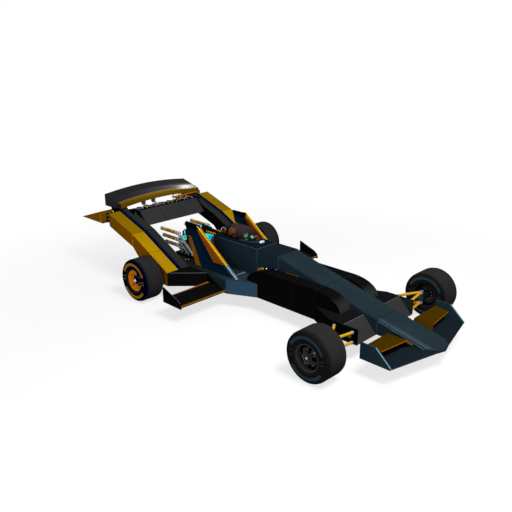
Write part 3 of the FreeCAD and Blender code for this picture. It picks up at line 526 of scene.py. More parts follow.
class Shape:
    """Closed forms gathered into one mesh, in the row frame."""

    def __init__(self):
        self.points = []
        self.faces = []

    def add(self, points, faces):
        first = len(self.points)
        self.points.extend(points)
        self.faces.extend([[first + corner for corner in face] for face in faces])

    def rings(self, points, sides, looped=False):
        """Rings of points joined in turn; looped ones close on themselves, the others have two flat ends."""
        faces = []
        last = len(points) - sides
        for first in range(0, len(points) if looped else last, sides):
            second = (first + sides) % len(points)
            for number in range(sides):
                after = (number + 1) % sides
                faces.append([first + number, first + after, second + after, second + number])
        if not looped:
            faces += [list(range(sides)), list(range(last, len(points)))]
        self.add(points, faces)

    def slab(self, outline, depth):
        """A flat outline carried along a vector."""
        count = len(outline)
        points = list(outline) + [point + depth for point in outline]
        faces = [list(range(count)), list(range(count, count * 2))]
        for number in range(count):
            after = (number + 1) % count
            faces.append([number, after, count + after, count + number])
        self.add(points, faces)

    def plate(self, x_span, y, z_span, depth):
        """An upright plate between grid places along and up."""
        self.slab([at(x, y, z) for x, z in rectangle(x_span, z_span)], depth)

    def block(self, low, high):
        """A block between two corners."""
        outline = [Vector((x, y, low.z)) for x, y in rectangle((low.x, high.x), (low.y, high.y))]
        self.slab(outline, Vector((0, 0, high.z - low.z)))

    def turned(self, start, direction, profile, sides=20, looped=False):
        """A profile of distances along a line and radii about it, turned about it; looped profiles leave a bore."""
        axis = Vector(direction).normalized()
        across = axis.orthogonal().normalized()
        other = axis.cross(across)
        spokes = [across * math.cos(angle) + other * math.sin(angle) for angle in angles_to(math.tau, sides)[:-1]]
        points = [start + axis * reach + spoke * radius for reach, radius in profile for spoke in spokes]
        self.rings(points, sides, looped)

    def band(self, start, way, inner, outer, length, ease=0.0, sides=24):
        """A ring with a bore, about a bar."""
        profile = [(0, inner), (ease, outer), (length - ease, outer), (length, inner)]
        self.turned(start, way, profile, sides, looped=True)

    def bar(self, start, end, radius, sides=8):
        """A thin bar with eased ends."""
        length = (end - start).length
        ease = min(radius * 0.4, length / 4)
        profile = [(0, radius - ease), (ease, radius), (length - ease, radius), (length, radius - ease)]
        self.turned(start, end - start, profile, sides)

    def path(self, points, radius, sides=8):
        """Bars through a row of points."""
        for start, end in zip(points[:-1], points[1:]):
            self.bar(start, end, radius, sides)

    def stud(self, place, direction, radius, rise=None):
        """A low domed head that stands on a surface."""
        height = rise or radius * 0.7
        profile = [(-radius * 0.3, radius), (height * 0.35, radius), (height * 0.8, radius * 0.7),
                   (height, radius * 0.12)]
        self.turned(place, direction, profile, 12)

    def ball(self, centre, radius, direction=(0, 0, 1)):
        """A ball with tiny flats at its poles."""
        profile = [(-radius * math.cos(angle), max(radius * math.sin(angle), radius * 0.02))
                   for angle in angles_to(math.pi, 8)]
        self.turned(centre, direction, profile, 20)

    def tube_ring(self, centre, direction, radius, thickness):
        """A round ring."""
        profile = [(thickness * math.sin(angle), radius + thickness * math.cos(angle))
                   for angle in angles_to(math.tau, 8)[:-1]]
        self.turned(centre, direction, profile, 40, looped=True)

    def piece(self, name, slot, finish, body="chassis", bevel=0.0, smooth=40):
        """The gathered forms as one piece that rides on a body."""
        mesh = bpy.data.meshes.new(name)
        mesh.from_pydata(self.points, [], self.faces)
        work = bmesh.new()
        work.from_mesh(mesh)
        bmesh.ops.recalc_face_normals(work, faces=work.faces)
        work.to_mesh(mesh)
        work.free()
        mesh.shade_smooth()
        mesh.set_sharp_from_angle(angle=math.radians(smooth))
        mesh.materials.append(made_once(finish, **SMALL_FINISHES[finish]))
        made = linked(name, mesh)
        if bevel:
            eased(made, "eased edges", bevel, 30)
        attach(made, body)
        return made


def lamp(colour, strength):
    """Settings of a finish that glows all over."""
    return paint(colour, 0.3, layers=[coat(colour, x=(-40, 20), glow=strength)])


CHROME = (0.75, 0.76, 0.78)
SMALL_FINISHES = {
    "silver": paint((0.62, 0.64, 0.67), 0.22, metal=0.9),
    "chrome": paint(CHROME, 0.1, spread=0.03, metal=1.0),
    "white_steel": paint((0.42, 0.42, 0.43), 0.4, metal=0.2),
    "header_steel": paint((0.2, 0.2, 0.21), 0.4, metal=0.3),
    "stud_blue": paint((0.1, 0.19, 0.26), 0.35, metal=0.2),
    "gloss_black": paint((0.0035, 0.0035, 0.004), 0.2, spread=0.02, Specular_IOR_Level=0.13),
    "matt_black": matt(grey(0.004), 0.6),
    "dish_gold": paint((0.9, 0.27, 0.001), 0.36, spread=0.04, Specular_IOR_Level=0.03),
    "stud_yellow": paint((0.8, 0.56, 0.02), 0.4),
    "stud_white": paint((0.4, 0.5, 0.55), 0.4),
    "bright_gold": paint((0.48, 0.25, 0.002), 0.4, Specular_IOR_Level=0.15),
    "dull_gold": matt((0.16, 0.08, 0.001), 0.5),
    "orange": matt((0.46, 0.13, 0.001), 0.45),
    "pale_blue": paint((0.2, 0.34, 0.44), 0.35),
    "nozzle_teal": paint((0.012, 0.05, 0.085), 0.4, Specular_IOR_Level=0.2),
    "cyan_lamp": lamp(CYAN, 1.5),
    "teal_lamp": lamp((0.0, 0.4, 0.45), 1.2),
    "red_lamp": lamp((0.45, 0.0, 0.0), 1.0),
    "display": lamp(GREEN, 3.0),
    "dim_display": lamp(GREEN, 0.9),
    # Pale colours of the lines laid along edges, painted highlights; the grey one also colours the engine's ribs.
    "rib_grey_and_highlight": matt((0.11, 0.12, 0.125), 0.45),
    "highlight_blue": matt((0.055, 0.105, 0.13), 0.45),
    "nose_highlight": matt((0.11, 0.165, 0.185), 0.45),
    "dark_heads": matt((0.012, 0.014, 0.015), 0.5),
    "brake_iron": paint((0.01, 0.01, 0.011), 0.45, stretch=(1, 6, 1), Specular_IOR_Level=0.1),
    "webbing": paint((0.02, 0.02, 0.024), 0.8, grain_scale=500.0, grain=0.5, stretch=(1, 4, 1)),
    "leather": matt((0.62, 0.21, 0.012), 0.5, grain_scale=150.0, grain=0.35, grain_depth=0.003),
    "dark_leather": paint((0.05, 0.018, 0.016), 0.5, grain_scale=150.0, grain=0.35, grain_depth=0.003,
                          Specular_IOR_Level=0.15),
    "stitching": matt((0.3, 0.14, 0.03), 0.7, grain_scale=600.0, grain=0.5),
}


# Wheels.
COVER_RINGS = (0.036, 0.05, 0.064, 0.078, 0.098, 0.118, 0.138, 0.152, 0.166)
COVER_STEPS = 90
DOME_REACH = 0.228
HOLE_RINGS = (0.078, 0.138)
HOLE_HALF_DEGREES = 17
HOLE_COUNT = 5
HOLE_FIRST_DEGREES = 10
DISH_RINGS = (0.104, 0.112, 0.12, 0.129, 0.138, 0.15, 0.168)
DISH_HOLE_RINGS = (0.12, 0.138)
DISH_HOLE_HALF_DEGREES = 5
COVER_THICKNESS = 0.004
COVER_EDGE_WIDTH = 0.0012
COVER_DEPTH = 0.006
COVER_STUD_RING = 0.112
DISH_DEPTH = 0.078
DISH_RISE = 0.058


def wheel_place(axle, side, sign):
    """Axle point in the plane of the tyre's outer wall, and the way outward."""
    low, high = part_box("tyre_" + axle + "_" + side)
    centre = (low + high) / 2
    outer = high.y if sign > 0 else low.y
    return Vector((centre.x, outer, centre.z)), Vector((0, sign, 0))


def spoke_point(place, radius, degrees):
    """A point at a radius from an axle, in the plane of a wheel."""
    angle = math.radians(degrees)
    return place + Vector((math.cos(angle) * radius, 0, math.sin(angle) * radius))


def pierced_disc(place, outward, rings, depth_at, hole_rings, hole_half):
    """A round cover with openings between its spokes; depth_at gives its depth at each radius."""
    shape = Shape()
    pitch = 360 / HOLE_COUNT
    points = []
    for radius in rings:
        middle = place - outward * depth_at(radius)
        points += [spoke_point(middle, radius, 360 / COVER_STEPS * step) for step in range(COVER_STEPS)]
    faces = []
    for number in range(len(rings) - 1):
        middle = (rings[number] + rings[number + 1]) / 2
        for step in range(COVER_STEPS):
            degrees = 360 / COVER_STEPS * (step + 0.5) - HOLE_FIRST_DEGREES
            away = abs((degrees + pitch / 2) % pitch - pitch / 2)
            if hole_rings[0] < middle < hole_rings[1] and away < hole_half:
                continue
            first = number * COVER_STEPS
            second = first + COVER_STEPS
            after = (step + 1) % COVER_STEPS
            faces.append([first + step, first + after, second + after, second + step])
    shape.add(points, faces)
    return shape


def thickened(made):
    """Give a cover its thickness, half to each side of its face."""
    solid = made.modifiers.new("thickness", "SOLIDIFY")
    solid.thickness = COVER_THICKNESS
    solid.offset = 0
    eased(made, "eased edges", COVER_EDGE_WIDTH, 40)


def front_cover(side, sign):
    """The dark domed cover of a front wheel with its studs and hub cap."""
    place, outward = wheel_place("front", side, sign)
    tail = "_front_" + side
    body = "wheel" + tail

    def depth_at(radius):
        return COVER_DEPTH + DOME_REACH - math.sqrt(DOME_REACH * DOME_REACH - radius * radius)

    disc = pierced_disc(place, outward, COVER_RINGS, depth_at, HOLE_RINGS, HOLE_HALF_DEGREES)
    thickened(disc.piece("wheel_cover" + tail, "rim_dark", "gloss_black", body))
    studs = Shape()
    foot = place - outward * (depth_at(COVER_STUD_RING) - 0.002)
    for number in range(HOLE_COUNT):
        degrees = HOLE_FIRST_DEGREES + 360 / HOLE_COUNT * (number + 0.5)
        studs.ball(spoke_point(foot, COVER_STUD_RING, degrees - 20), 0.0075, outward)
    studs.piece("wheel_studs" + tail, "rim_dark", "stud_blue", body)
    cap = Shape()
    cap.turned(place - outward * 0.034, outward, [(0, 0.032), (0.02, 0.032), (0.024, 0.029), (0.024, 0.018),
                                                 (0.018, 0.016), (0.018, 0.001)], 24)
    cap.piece("hub_cap" + tail, "rim_dark", "gloss_black", body)
    nut = Shape()
    nut.turned(place - outward * 0.018, outward, [(0, 0.0145), (0.01, 0.0145), (0.013, 0.011), (0.014, 0.001)], 6)
    nut.ball(place - outward * 0.006 + Vector((0.004, 0, -0.004)), 0.006, outward)
    nut.piece("hub_nut" + tail, "rim_dark", "silver", body)
    bolts = Shape()
    for number in range(6):
        bolts.stud(spoke_point(place - outward * 0.01, 0.0245, 60 * number), outward, 0.0035)
    bolts.piece("hub_bolts" + tail, "rim_dark", "pale_blue", body)


def rear_dish(side, sign):
    """The bright hollow dish of a rear wheel with its studs and hub nut."""
    place, outward = wheel_place("rear", side, sign)
    tail = "_rear_" + side
    body = "wheel" + tail

    def depth_at(radius):
        return DISH_DEPTH - DISH_RISE * (radius - DISH_RINGS[0]) / (DISH_RINGS[-1] - DISH_RINGS[0])

    disc = pierced_disc(place, outward, DISH_RINGS, depth_at, DISH_HOLE_RINGS, DISH_HOLE_HALF_DEGREES)
    thickened(disc.piece("wheel_dish" + tail, "rim_gold", "dish_gold", body))
    studs = Shape()
    for number in range(HOLE_COUNT):
        degrees = HOLE_FIRST_DEGREES + 360 / HOLE_COUNT * (number + 0.5)
        studs.stud(spoke_point(place - outward * 0.079, 0.084, degrees), outward, 0.012, 0.016)
    studs.piece("wheel_studs" + tail, "rim_gold", "stud_yellow", body)
    nut = Shape()
    nut.turned(place - outward * 0.036, outward, [(0, 0.026), (0.01, 0.026), (0.016, 0.02), (0.02, 0.008),
                                                 (0.021, 0.001)], 6)
    nut.ball(place - outward * 0.012, 0.012, outward)
    nut.piece("hub_nut" + tail, "rim_gold", "silver", body)


BRAKE_DEPTH = 0.07


def arc(place, spots):
    """Points about an axle from pairs of degrees and radius."""
    return [spoke_point(place, radius, degrees) for degrees, radius in spots]


def front_brake(side, sign):
    """Brake disc on the wheel's hub, and the caliper on the upright that grips its rear edge."""
    low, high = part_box("rim_front_" + side)
    middle = (low + high) / 2
    hub = Vector((middle.x, low.y if sign > 0 else high.y, middle.z))
    outward = Vector((0, sign, 0))
    start = hub + outward * BRAKE_DEPTH
    body = "wheel_front_" + side
    disc = Shape()
    disc.turned(start, outward, [(0, 0.06), (0, 0.138), (0.008, 0.138), (0.009, 0.132), (0.015, 0.132),
                                 (0.016, 0.138), (0.024, 0.138), (0.024, 0.06)], 48, looped=True)
    disc.piece("brake_disc_front_" + side, "steel", "brake_iron", body)
    bolts = Shape()
    for number in range(10):
        bolts.stud(spoke_point(start + outward * 0.001, 0.074, 36 * number), -outward, 0.005)
    bolts.piece("brake_bolts_front_" + side, "steel", "silver", body)
    grip = Shape()
    cheek = [(degrees, 0.092) for degrees in (150, 165, 180, 195, 210)]
    cheek += [(210, 0.15), (195, 0.156), (180, 0.158), (165, 0.156), (150, 0.15)]
    for reach in (-0.04, 0.03):
        grip.slab(arc(start + outward * reach, cheek), outward * 0.034)
    bridge = [(158, 0.143), (180, 0.145), (202, 0.143), (202, 0.154), (180, 0.158), (158, 0.154)]
    grip.slab(arc(start - outward * 0.01, bridge), outward * 0.044)
    bracket = hub - outward * 0.034
    outline = [bracket + Vector((x, 0, z)) for x, z in ((-0.02, 0.034), (-0.105, 0.034), (-0.145, 0.022),
                                                       (-0.145, -0.022), (-0.105, -0.034), (-0.02, -0.034))]
    grip.slab(outline, outward * 0.012)
    for height in (-0.014, 0.014):
        foot = bracket + Vector((-0.125, 0, height))
        grip.bar(foot, foot + outward * 0.07, 0.008)
    grip.piece("brake_caliper_front_" + side, "steel", "matt_black", "knuckle_" + side, bevel=0.002)


# Engine and pipes.
PIPE_PLACE = 1.5
PIPE_TIPS = ((-19.59, 3.5), (-19.38, 3.0), (-19.13, 2.52))
PIPE_ELBOWS = ((-17.49, 3.51), (-17.5, 3.0), (-17.5, 2.52))
PIPE_FEET = ((-15.85, 2.17), (-16.45, 2.17), (-17.03, 2.17))
PIPE_RADIUS = 0.03
HEADER_RADIUS = 0.024


def pipe_fittings(side, sign):
    """Ball joints at the elbows, sleeves and tips on the tail pipes, and clamps on the headers."""
    elbows, tips, sleeves, clamps = Shape(), Shape(), Shape(), Shape()
    for tip_share, elbow_share, foot_share in zip(PIPE_TIPS, PIPE_ELBOWS, PIPE_FEET):
        tip, elbow, foot = [at(x, PIPE_PLACE * sign, z) for x, z in (tip_share, elbow_share, foot_share)]
        back = (tip - elbow).normalized()
        down = (foot - elbow).normalized()
        elbows.ball(elbow, 0.036, down)
        elbows.band(elbow + back * 0.03, back, PIPE_RADIUS, 0.0345, 0.022)
        elbows.band(elbow + down * 0.03, down, HEADER_RADIUS, 0.0285, 0.02)
        tips.turned(tip - back * 0.044, back, [(0, 0.03), (0, 0.0325), (0.04, 0.0325), (0.044, 0.03),
                                              (0.042, 0.0262), (0.004, 0.0262)], 28, True)
        for share in (0.3, 0.62):
            sleeves.band(elbow + (tip - elbow) * share, back, PIPE_RADIUS, 0.032, 0.012, 0.001)
        for share in (0.2, 0.42, 0.64, 0.86):
            place = elbow + (foot - elbow) * share
            clamps.band(place, down, HEADER_RADIUS, 0.0265, 0.011, 0.001)
            clamps.stud(place + down * 0.005 + Vector((0, sign * 0.0265, 0)), (0, sign, 0), 0.004)
    elbows.piece("pipe_joints_" + side, "steel", "white_steel")
    tips.piece("pipe_tips_" + side, "steel", "header_steel")
    sleeves.piece("pipe_sleeves_" + side, "steel", "bright_gold")
    clamps.piece("pipe_clamps_" + side, "steel", "header_steel")


ENGINE_SIDE = 0.95
POST_BAY = -16.12
POST_ROW = -0.38


def engine_fittings():
    """Lamps, rails, ribs and bolts on the engine's sides, and the post beside its cover."""
    lamps, rails, ribs, bolts = Shape(), Shape(), Shape(), Shape()
    for sign in (1, -1):
        out = Vector((0, sign, 0))
        wall = ENGINE_SIDE * sign
        lamps.plate((-17.4, -17.34), wall, (3.38, 3.66), out * 0.01)
        lamps.tube_ring(at(-17.38, 0.97 * sign, 3.07), out, 0.032, 0.009)
        rails.plate((-17.66, -17.1), wall, (3.24, 3.34), out * 0.014)
        for number in range(6):
            x = -16.98 + number * 0.1
            ribs.plate((x, x + 0.045), wall, (2.3, 3.55), out * 0.008)
        ribs.tube_ring(at(-17.38, 0.96 * sign, 3.07), out, 0.046, 0.005)
        for x in (-17.6, -16.45):
            for z in (2.3, 2.7, 3.1, 3.45):
                bolts.stud(at(x, wall, z), out, 0.008)
        for x in (-17.3, -16.9, -16.5, -16.1, -15.7, -15.3):
            bolts.stud(at(x, 1.7 * sign, 2.17), (0, 0, 1), 0.009)
        for share in (0.15, 0.4, 0.65, 0.9):
            rails.band(at(-15.8 + 1.8 * share, 0.34 * sign, 3.84), (1, 0, 0), 0.014, 0.0175, 0.016, 0.001, 20)
    post, top, low = Shape(), Shape(), Shape()
    post.bar(at(POST_BAY, POST_ROW, 3.74), at(POST_BAY, POST_ROW, 4.14), 0.011, 12)
    post.turned(at(POST_BAY, POST_ROW, 3.76), (0, 0, 1), [(0, 0.018), (0.008, 0.018), (0.012, 0.011)], 16)
    top.stud(at(POST_BAY, POST_ROW, 4.13), (0, 0, 1), 0.015, 0.02)
    low.stud(at(POST_BAY, POST_ROW, 3.95) + Vector((0.01, -0.004, 0)), (1, -0.6, 0), 0.01, 0.012)
    lamps.piece("engine_lamps", "plastic", "cyan_lamp", bevel=0.002)
    rails.piece("engine_rails", "gold_metal", "orange", bevel=0.002)
    ribs.piece("engine_ribs", "black_paint", "rib_grey_and_highlight", bevel=0.0015)
    bolts.piece("engine_bolts", "steel", "silver")
    post.piece("engine_post", "steel", "header_steel")
    top.piece("engine_post_lamp", "plastic", "teal_lamp")
    low.piece("engine_warning_lamp", "plastic", "red_lamp")


# Rear panel and wing.
TILE_COUNT = 28
LIGHT_COUNT = 9
LIGHT_BAR_WIDTH = 2.7


def panel_tiles():
    """The narrow grid behind the panel's upper edge, with its row of bright and dark tiles."""
    dark, bright = Shape(), Shape()
    for x in (-21.02, -21.22, -21.42):
        dark.block(at(x, -3.3, 4.9), at(x + 0.05, 3.3, 5.0))
    for sign in (1, -1):
        inner, outer = sorted((2.86 * sign, 3.3 * sign))
        dark.block(at(-21.42, inner, 4.86), at(-20.6, outer, 4.97))
    for number in range(TILE_COUNT):
        y = -2.82 + 5.64 / (TILE_COUNT - 1) * number
        dark.block(at(-21.42, y - 0.04, 4.9), at(-20.98, y + 0.04, 4.99))
        for row_number in range(3):
            step = (number * 5 + row_number * 3) % 7
            if step <= 4:
                x = -21.4 + 0.21 * row_number
                high = at(x + 0.03 + 0.02 * step, y + 0.07, 5.0) + Vector((0, 0, 0.006 + 0.003 * step))
                bright.block(at(x, y - 0.09, 4.99), high)
        if number % 2:
            dark.block(at(-20.78, y - 0.07, 4.98), at(-20.58, y + 0.07, 5.0) + Vector((0, 0, 0.01)))
        else:
            bright.block(at(-20.76, y - 0.06, 4.98), at(-20.68, y + 0.06, 5.0) + Vector((0, 0, 0.012)))
    bright.piece("panel_tiles_bright", "steel", "chrome", bevel=0.0015)
    dark.piece("panel_grid", "grey_paint", "matt_black", bevel=0.0015)


def wing_underside(y):
    """Height, in tiers, of the wing's lower front edge above a place across."""
    return 5.12 + 0.3 * (1 - (y / 4) ** 2)


def wing_fittings():
    """Two nozzles under the wing's front edge and the bright light bar on its other half."""
    bodies, ends, strip, carriers = Shape(), Shape(), Shape(), Shape()
    for y in (-1.62, -0.66):
        top = at(-21.7, y, wing_underside(y) + 0.02)
        middle = at(-21.7, y, wing_underside(y) - 0.17)
        bodies.bar(middle, top, 0.016, 12)
        bodies.turned(middle - Vector((0.03, 0, 0)), (1, 0, 0), [(0, 0.016), (0.012, 0.032), (0.048, 0.036),
                                                                 (0.06, 0.03), (0.064, 0.012)], 20)
        for sign in (1, -1):
            ends.turned(middle + Vector((0.004, 0.03 * sign, 0.02)), (0, sign, 0), [(0, 0.013), (0.012, 0.013),
                                                                                    (0.016, 0.009)], 16)
        low = middle + Vector((-0.02, -0.02, -0.036))
        ends.block(low, low + Vector((0.125, 0.04, 0.009)))
        ends.bar(low + Vector((0.1, 0.02, 0.004)), low + Vector((0.125, 0.02, 0.03)), 0.006)
    bodies.piece("wing_nozzles", "steel", "nozzle_teal")
    ends.piece("wing_nozzle_fins", "gold_metal", "orange", bevel=0.0015)
    step = LIGHT_BAR_WIDTH / LIGHT_COUNT
    for number in range(LIGHT_COUNT):
        y = 1.15 + step * number
        depth = 0.13 if number < 5 else 0.09
        low = at(-21.5, y + 0.015, 5.25 - depth)
        high = at(-21.5, y + step - 0.015, 5.25)
        strip.block(low, high + Vector((0.01 if number % 2 else 0.014, 0, 0)))
        if number % 2 == 0:
            carriers.block(at(-21.56, y + 0.1, 5.17), at(-21.5, y + 0.16, wing_underside(y + 0.13) + 0.01))
    carriers.block(at(-21.56, 1.18, 5.15), at(-21.5, 3.8, 5.2))
    strip.piece("wing_light_bar", "gold_paint", "orange", bevel=0.002)
    carriers.piece("wing_light_carriers", "black_paint", "matt_black", bevel=0.001)


# Deck, fins and hull.
RIDGE_COUNT = 40


def fin_ridge(side, sign):
    """The row of small tiles along the fin's leading edge, yellow above and white below."""
    upper, lower = Shape(), Shape()
    forward = Vector((4.05, 0, -3)).normalized()
    rise = Vector((3, 0, 4.05)).normalized()
    for number in range(RIDGE_COUNT):
        share = (number + 0.5) / RIDGE_COUNT
        middle = at(-14.1 + 4.05 * share, 2.455 * sign, 5 - 3 * share)
        outline = [middle + forward * ahead + Vector((0, out, 0)) - rise * 0.001
                   for ahead, out in rectangle((-0.012, 0.012), (-0.007, 0.007))]
        target = upper if 5 - 3 * share > FIN_GOLD_TIERS[0] else lower
        target.slab(outline, rise * 0.007)
    upper.piece("fin_ridge_" + side, "gold_paint", "stud_yellow", bevel=0.0015)
    lower.piece("fin_foot_ridge_" + side, "steel", "stud_white", bevel=0.0015)


def deck_louvres(side, sign):
    """The row of narrow slats across the deck ahead of the fin, and the small caps behind it."""
    slats, caps = Shape(), Shape()
    for number in range(7):
        y = 1.06 + 0.17 * number
        slats.block(at(-10.74, y - 0.016, 1.99), at(-10.58, y + 0.016, 2.0) + Vector((0, 0, 0.006)))
    for x, y in ((-12.7, 1.15), (-15.8, 2.26), (-15.64, 2.1)):
        caps.stud(at(x, y, 2), (0, 0, 1), 0.011)
    for shape in (slats, caps):
        if sign < 0:
            shape.points = [Vector((point.x, -point.y, point.z)) for point in shape.points]
    slats.piece("deck_louvres_" + side, "steel", "stud_white", bevel=0.0015)
    caps.piece("deck_caps_" + side, "steel", "silver")


ROD_FEET = (0.22, -1.15)
ROD_LEVELS = ((1.76, 0.077), (1.13, -0.077))
KINGPIN_OUT = 0.4


def rod_fittings(side, sign):
    """Collars where the suspension rods meet their box and their eyes, and the small balls between them."""
    collars, balls = Shape(), Shape()
    axle = centre_of("tyre_front_" + side)
    kingpin = at(0, 3, 0).y + KINGPIN_OUT
    for height, offset in ROD_LEVELS:
        eye = Vector((axle.x, kingpin * sign, axle.z + offset))
        for foot_share in ROD_FEET:
            foot = at(foot_share, 3 * sign, height)
            away = (eye - foot).normalized()
            collars.turned(foot + away * 0.012, away, [(0, 0.019), (0.001, 0.024), (0.018, 0.024), (0.024, 0.019)],
                           20, True)
            collars.band(eye - away * 0.052, away, 0.019, 0.0225, 0.02, 0.002, 6)
    collars.piece("rod_collars_" + side, "steel", "header_steel")
    balls.ball(at(0.03, 3.03 * sign, 1.45), 0.02)
    balls.turned(at(0.03, 2.98 * sign, 1.45), (0, sign, 0), [(0, 0.012), (0.01, 0.012)], 12)
    balls.piece("box_ball_" + side, "gold_metal", "bright_gold")


def pod_fittings(side, sign):
    """The gold lever and cap on the sidepod's rear slope and the gold dashes where pod and hull meet."""
    gold, dashes, bright = Shape(), Shape(), Shape()
    outline = [at(x, 1.36 * sign, z) for x, z in ((-8.97, 2.62), (-8.5, 2.8), (-8.5, 2.98), (-8.62, 2.99),
                                                  (-8.97, 2.85))]
    gold.slab(outline, Vector((0, 0.0198 * sign, 0)))
    gold.piece("pod_levers_" + side, "gold_metal", "bright_gold", bevel=0.0015)
    for number in range(4):
        x = -6.7 + 0.27 * number
        dashes.block(at(x, 1.02 * sign, 2.99), at(x + 0.15, 1.02 * sign, 3.0) + Vector((0, 0.008 * sign, 0.008)))
    dashes.piece("pod_dashes_" + side, "gold_metal", "dull_gold", bevel=0.0015)
    bright.ball(at(-8.2, 1.4 * sign, 3.0), 0.015)
    bright.stud(at(-7.65, 1.05 * sign, 3.0), (0, 0, 1), 0.011)
    bright.piece("pod_caps_" + side, "steel", "chrome")


# Painted highlights: thin pale bars laid along edges that catch the light.
HIGHLIGHT_LINE_RADIUS = 0.0035
HIGHLIGHT_LINES = (
    ("edge_highlight_grey", "black_paint", "rib_grey_and_highlight",
     ([(-14.45, 4.94, 2.0), (-12.52, 3.01, 2.0)], [(-0.5, 1.04, 2.0), (-0.5, 2.96, 2.0)],
      [(-12.37, 6.92, 2.07), (-11.57, 6.92, 1.79), (-10.98, 6.92, 1.6), (-10.68, 6.92, 1.39)])),
    ("edge_highlight_blue", "blue_paint", "highlight_blue",
     ([(-9.5, 1, 2.05), (-9.5, 1, 3.97)], [(-13.4, 1, 4), (-9.5, 1, 4), (-9.5, 0, 4)],
      [(-7.5, 1, 3.05), (-7.5, 1, 3.93)], [(0.5, 1, 1.15), (0.5, 1, 1.86)])),
    ("nose_edge_highlight", "blue_paint", "nose_highlight", ([(0.55, 1, 1.87), (3.7, 1, 1.16)],)),
)


def highlight_lines():
    """Thin bright lines along the edges of the side boxes, tubs, winglets, hull and nose: painted highlights."""
    for name, slot, finish, lines in HIGHLIGHT_LINES:
        highlight_line = Shape()
        for sign in (1, -1):
            for line in lines:
                highlight_line.path([at(x, y * sign, z) for x, y, z in line], HIGHLIGHT_LINE_RADIUS, 6)
        highlight_line.piece(name, slot, finish)


HEAD_RADIUS = 0.006
HEAD_RISE = 0.0015


def hull_fasteners():
    """Small countersunk heads along the joints of the hull panels."""
    heads = Shape()
    for sign in (1, -1):
        spots = [(x, y, 2 - abs(x - 0.5) * 0.26, (0.25, 0, 1)) for x in (0.42, 0.62) for y in (0.3, 0.7)]
        spots += [(x, y, 2 + (0.5 - x) / 4, (0.25, 0, 1)) for x in (-3.62, -3.38) for y in (0.3, 0.7)]
        spots += [(x, 1, 3.8, (0, sign, 0)) for x in (-13.6, -12.4, -11.2, -10.0, -9.0)]
        spots += [(x, 2, z, (0, sign, 0)) for x in (-7.2, -6.2, -5.2, -4.2) for z in (1.15, 1.85)]
        spots += [(x, -9.5 - x, z, (1, sign, 0)) for x in (-14.2, -13.4) for z in (1.2, 1.8)]
        for x, y, z, way in spots:
            heads.stud(at(x, y * sign, z), way, HEAD_RADIUS, HEAD_RISE)
    heads.piece("hull_fasteners", "steel", "dark_heads")


LINK_ROW = 4.6


def tail_fittings(side, sign):
    """Bolts and a marker on the link that carries the tail wedge."""
    bolts, marker = Shape(), Shape()
    for x in (-21.68, -22.3):
        for z in (4.62, 4.32):
            bolts.stud(at(x, LINK_ROW * sign, z), (0, sign, 0), 0.012)
    bolts.piece("link_bolts_" + side, "steel", "pale_blue")
    marker.plate((-21.97, -21.9), LINK_ROW * sign, (4.5, 4.72), Vector((0, 0.006 * sign, 0)))
    marker.piece("link_marker_" + side, "gold_metal", "orange", bevel=0.001)


# Cockpit.
def instruments():
    """Lit displays on a stalk and on the instrument pod's slope, a low bar of lamps, and the grey unit ahead."""
    lit, bright, bezels, unit, struts = Shape(), Shape(), Shape(), Shape(), Shape()
    gap = 0.025
    for x, y_low, y_high, z_low, z_high in ((-11.36, -0.44, -0.08, 4.28, 4.54), (-11.3, -0.6, -0.16, 4.1, 4.17)):
        lit.block(at(x, y_low, z_low), at(x + 0.03, y_high, z_high))
        for y, z, y_end, z_end in ((y_low - gap, z_low - gap, y_low, z_high + gap),
                                   (y_high, z_low - gap, y_high + gap, z_high + gap),
                                   (y_low, z_low - gap, y_high, z_low), (y_low, z_high, y_high, z_high + gap)):
            bezels.block(at(x + 0.006, y, z), at(x + 0.024, y_end, z_end))
        middle = (y_low + y_high) / 2
        bezels.bar(at(-10.95, middle * 0.4, 4.0), at(x + 0.01, middle, z_low), 0.006)
    slope = Vector((0.26, 0, 0.28)).normalized()
    for target, y_low, y_high, low_share, high_share, depth in ((bright, -0.21, 0.04, 0.34, 0.9, 0.004),
                                                                (bezels, -0.23, 0.2, 0.05, 0.96, 0.002)):
        outline = [at(-10.72 - 0.28 * share, y, 4.2 + 0.26 * share)
                   for y, share in rectangle((y_low, y_high), (low_share, high_share))]
        target.slab(outline, slope * depth)
    lit.piece("cockpit_displays", "plastic", "dim_display")
    bright.piece("pod_display", "plastic", "display", bevel=0.001)
    bezels.piece("display_bezels", "plastic", "matt_black", bevel=0.001)
    unit.turned(at(-10.62, 0.06, 4.34), (0, 0, 1), [(0, 0.016), (0.012, 0.024), (0.03, 0.022), (0.036, 0.006)], 16)
    unit.bar(at(-10.68, 0.04, 4.0), at(-10.62, 0.06, 4.36), 0.008)
    unit.bar(at(-10.62, -0.03, 4.44), at(-10.62, 0.2, 4.42), 0.006)
    unit.piece("cockpit_unit", "plastic", "silver")
    for sign in (1, -1):
        struts.slab([at(-10.68, 0.1 * sign, 4.06), at(-10.46, 0.2 * sign, 4.08), at(-10.5, 0.26 * sign, 4.36),
                     at(-10.64, 0.14 * sign, 4.38)], Vector((0.006, 0.006 * sign, 0)))
        struts.bar(at(-10.72, 0.22 * sign, 4.0), at(-10.52, 0.24 * sign, 4.14), 0.007)
    struts.piece("cockpit_struts", "gold_metal", "orange", bevel=0.001)


PAD_STEPS = 24
PAD_ROWS = 16
PAD_END_DRAW = 0.05
PAD_SIDE_DRAW = 0.04
PAD_UNDERSIDE = 0.12
PAD_LIFT = 0.006
CHANNEL_DEPTH = 0.3
CHANNEL_WIDTH = 0.045


